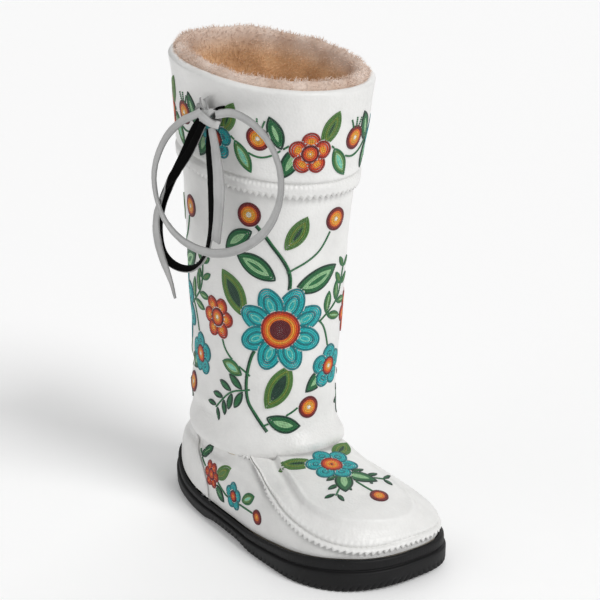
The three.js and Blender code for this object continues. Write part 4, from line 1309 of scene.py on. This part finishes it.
# Sews a design down: each bead is carried along a ray onto the leather and turned to its face.
def sewBeads(name, art, onto, rayOf):
    trees = [BVHTree.FromPolygons([v.co.copy() for v in piece.data.vertices],
                                  [tuple(p.vertices) for p in piece.data.polygons]) for piece in onto]

    def carry(u, v):
        origin, way = rayOf(u, v)
        best = None
        for tree in trees:
            hit = tree.ray_cast(Vector(origin), Vector(way))
            if hit[0] is not None and (best is None or hit[3] < best[3]):
                best = hit
        return best

    verts, colours, kept = [], [], 0
    corner = np.array([(1, -1), (1, 1), (-1, 1), (-1, -1)])
    reach, wide, tall = beadTable["along"] * 0.52, beadTable["row"] * 0.53, beadTable["tall"]
    for (u, v, du, dv), colour in zip(art.beads, art.colours):
        hit = carry(u, v)
        if hit is None:
            continue
        spot, normal = np.array(hit[0]) / millimetre, np.array(hit[1])
        origin, way = rayOf(u, v)
        if np.dot(normal, way) > 0:
            normal = -normal
        ahead = carry(u + du, v + dv)
        if ahead is None:
            continue
        run = np.array(ahead[0]) / millimetre - spot
        run -= normal * np.dot(run, normal)
        if np.linalg.norm(run) < 1e-6:
            continue
        run /= np.linalg.norm(run)
        side = np.cross(normal, run)
        base = spot - normal * 0.12
        low = [base + run * x * reach + side * y * wide for x, y in corner]
        high = [base + (run * x * reach + side * y * wide) * 0.68 + normal * tall * 0.88 for x, y in corner]
        verts += low + high
        tone = np.array(linear(beadColours[colour])) ** 1.12 * (1 + 0.24 * (chance.random() - 0.5))
        # Painted shade: each bead's base corners are darkened to 0.30 of its colour, so the gaps between rows
        # read dark.
        colours += [tone * 0.30] * 4 + [tone * 1.04] * 4
        kept += 1
    start = (np.arange(kept) * 8)[:, None]
    quads = [start + np.array([[a, (a + 1) % 4, 4 + (a + 1) % 4, 4 + a]]) for a in range(4)]
    quads.append(start + np.array([[4, 5, 6, 7]]))
    piece = addMesh(name, verts, [np.concatenate(quads)], [glassBeads])
    paint(piece, np.clip(np.array(colours), 0, 1))
    print(name, kept, "beads")
    return piece


# Angle round the shaft for a length along its middle ring, counted from the camera's side.
shaftStart = -0.62


def ringTable(level):
    t = np.linspace(-math.pi, math.pi, 1441) + shaftStart
    ring = faceAt(np.full((1, len(t)), float(level)), t)[0]
    far = runLength(ring[:, :2])
    return t, far - np.interp(shaftStart, t, far), far[-1]


def addBeadwork():
    t, far, whole = ringTable(15.0)
    rayStart = 150

    def axisAt(z):
        share = np.clip((z - size["instep"]) / (size["collar"] - size["instep"]), 0, 1)
        rises, centres = [row[0] for row in shaftTable], [row[2] for row in shaftTable]
        return np.array([np.interp(share, rises, centres) * size["length"], size["offset"]])

    def shaftRay(u, v):
        angle = np.interp(((u - far[0]) % (far[-1] - far[0])) + far[0], far, t)
        middle = axisAt(v)
        spot = shaftLoop(dict(zip(shaftColumns, shaftTable[7])), np.array([angle]))[0]
        way = spot[:2] - np.array([shaftTable[7][2] * size["length"], size["offset"]])
        way = unit(way)
        start = np.array([*(middle + way * rayStart), v])
        return tuple(place(start) * millimetre), (-way[0], -way[1], 0)

    for i, across in enumerate((0, whole / 3, -whole / 3)):
        sewBeads(f"beads_shaft_{i}", shaftDesign(across), [upper], shaftRay)
    tc, farC, wholeC = ringTable(17.5)

    def cuffRay(u, v):
        angle = np.interp(((u - farC[0]) % (farC[-1] - farC[0])) + farC[0], farC, tc)
        spot = shaftLoop(dict(zip(shaftColumns, shaftTable[8])), np.array([angle]))[0]
        middle = np.array([shaftTable[8][2] * size["length"], size["offset"]])
        way = unit(spot[:2] - middle)
        height = collarLine(spot[0], size["cuff"]) + v
        start = np.array([*(middle + way * rayStart), height])
        return tuple(place(start) * millimetre), (-way[0], -way[1], 0)

    sewBeads("beads_cuff", cuffDesign(wholeC), [cuff], cuffRay)
    foot = [upper, apronPiece, counterPiece]
    for name, way in (("lateral", 1), ("medial", -1)):
        def sideRay(u, v, way=way):
            return tuple(place(np.array([u, -rayStart * way, v])) * millimetre), (0, way, 0)

        sewBeads("beads_side_" + name, sideDesign(), foot, sideRay)

    def vampRay(u, v):
        return tuple(place(np.array([u, v, rayStart])) * millimetre), (0, 0, -1)

    sewBeads("beads_vamp", vampDesign(), [apronPiece], vampRay)


addBeadwork()
print("beadwork done")


# Stitches: short raised threads along a sewn line, snapped to the leather
stitchForm = (
    # along, aside, up, as shares of half the stitch, its width and its height
    (-1, 0, -0.3), (-0.7, 0.5, -0.1), (-0.7, -0.5, -0.1), (-0.6, 0, 0.8), (0, 0.6, 0), (0, -0.6, 0), (0, 0, 1),
    (0.7, 0.5, -0.1), (0.7, -0.5, -0.1), (0.6, 0, 0.8), (1, 0, -0.3))


def addStitches(name, line, onto, long, gap, wide=0.85, tall=0.55):
    tree = BVHTree.FromPolygons([v.co.copy() for v in onto.data.vertices],
                                [tuple(p.vertices) for p in onto.data.polygons])
    far = runLength(line)
    count = int(far[-1] / (long + gap))
    verts, kept = [], 0
    for i in range(count):
        ends = (np.array([0.0, long]) + i * (long + gap)) * far[-1] / (count * (long + gap))
        ends = place(np.stack([np.interp(ends, far, line[:, k]) for k in range(3)], axis=1))
        hit = tree.find_nearest(Vector((ends[0] + ends[1]) / 2 * millimetre))
        if hit[0] is None:
            continue
        spot, normal = np.array(hit[0]) / millimetre, np.array(hit[1])
        away = spot - place(np.array([100.0, 6.0, spot[2]]))
        if np.dot(normal, away) < 0 and abs(normal[2]) < 0.6:
            normal = -normal
        run = ends[1] - ends[0]
        run -= normal * np.dot(run, normal)
        reach = np.linalg.norm(run) / 2
        run /= max(np.linalg.norm(run), 1e-9)
        side = np.cross(normal, run)
        for x, y, z in stitchForm:
            verts.append(spot + run * x * reach + side * y * wide + normal * z * tall)
        kept += 1
    start = (np.arange(kept) * len(stitchForm))[:, None]
    tris = [(0, 3, 1), (0, 2, 3), (10, 7, 9), (10, 9, 8)]
    quads = [(1, 3, 6, 4), (2, 5, 6, 3), (4, 6, 9, 7), (5, 8, 9, 6)]
    faces = [np.concatenate([start + np.array([corners]) for corners in kind]) for kind in (quads, tris)]
    piece = addMesh(name, verts, faces, [thread])
    paint(piece, np.tile(np.array([linear("#E2E2DE")]), (len(verts), 1)))


addStitches("thread_cuff", cuffSewn, cuff, 2.6, 1.1)
addStitches("thread_apron", apronSewn, apronPiece, 2.5, 1.2)
print("stitches done")


# Soft studio light and a pale floor
def addLight(name, way, power, spread):
    data = bpy.data.lights.new(name, "SUN")
    data.energy = power
    data.angle = spread
    lamp = bpy.data.objects.new(name, data)
    lamp.rotation_euler = Vector(way).to_track_quat("Z", "Y").to_euler()
    bpy.context.scene.collection.objects.link(lamp)


def addStudio():
    addLight("keyLight", (1.0, 0.15, 0.95), 1.62, 0.42)
    addLight("fillLight", (-0.25, -1.0, 0.55), 0.24, 1.0)
    addLight("rimLight", (-0.8, 0.9, 0.7), 0.55, 0.9)
    world = bpy.data.worlds.new("studio")
    bpy.context.scene.world = world
    world.use_nodes = True
    background = world.node_tree.nodes["Background"]
    background.inputs["Color"].default_value = (1, 1, 1, 1)
    tree = world.node_tree
    path = addNode(tree, "ShaderNodeLightPath")
    bright = addNode(tree, "ShaderNodeMapRange", {"Value": path.outputs["Is Camera Ray"], "To Min": 0.37,
                                                  "To Max": 0.97})
    tree.links.new(bright.outputs["Result"], background.inputs["Strength"])
    material, tree, shader, where = newMaterial("paperPaleFloor")
    shader.inputs["Base Color"].default_value = rgba("#FDFDFD")
    shader.inputs["Roughness"].default_value = 0.9
    shader.inputs["Emission Color"].default_value = (1, 1, 1, 1)
    shader.inputs["Emission Strength"].default_value = 0.12
    reach = 30.0
    mesh = bpy.data.meshes.new("floor")
    mesh.from_pydata([(-reach, -reach, 0), (reach, -reach, 0), (reach, reach, 0), (-reach, reach, 0)], [],
                     [(0, 1, 2, 3)])
    mesh.materials.append(material)
    floor = bpy.data.objects.new("floor", mesh)
    bpy.context.scene.collection.objects.link(floor)


addStudio()
bpy.context.scene.view_settings.view_transform = "Standard"
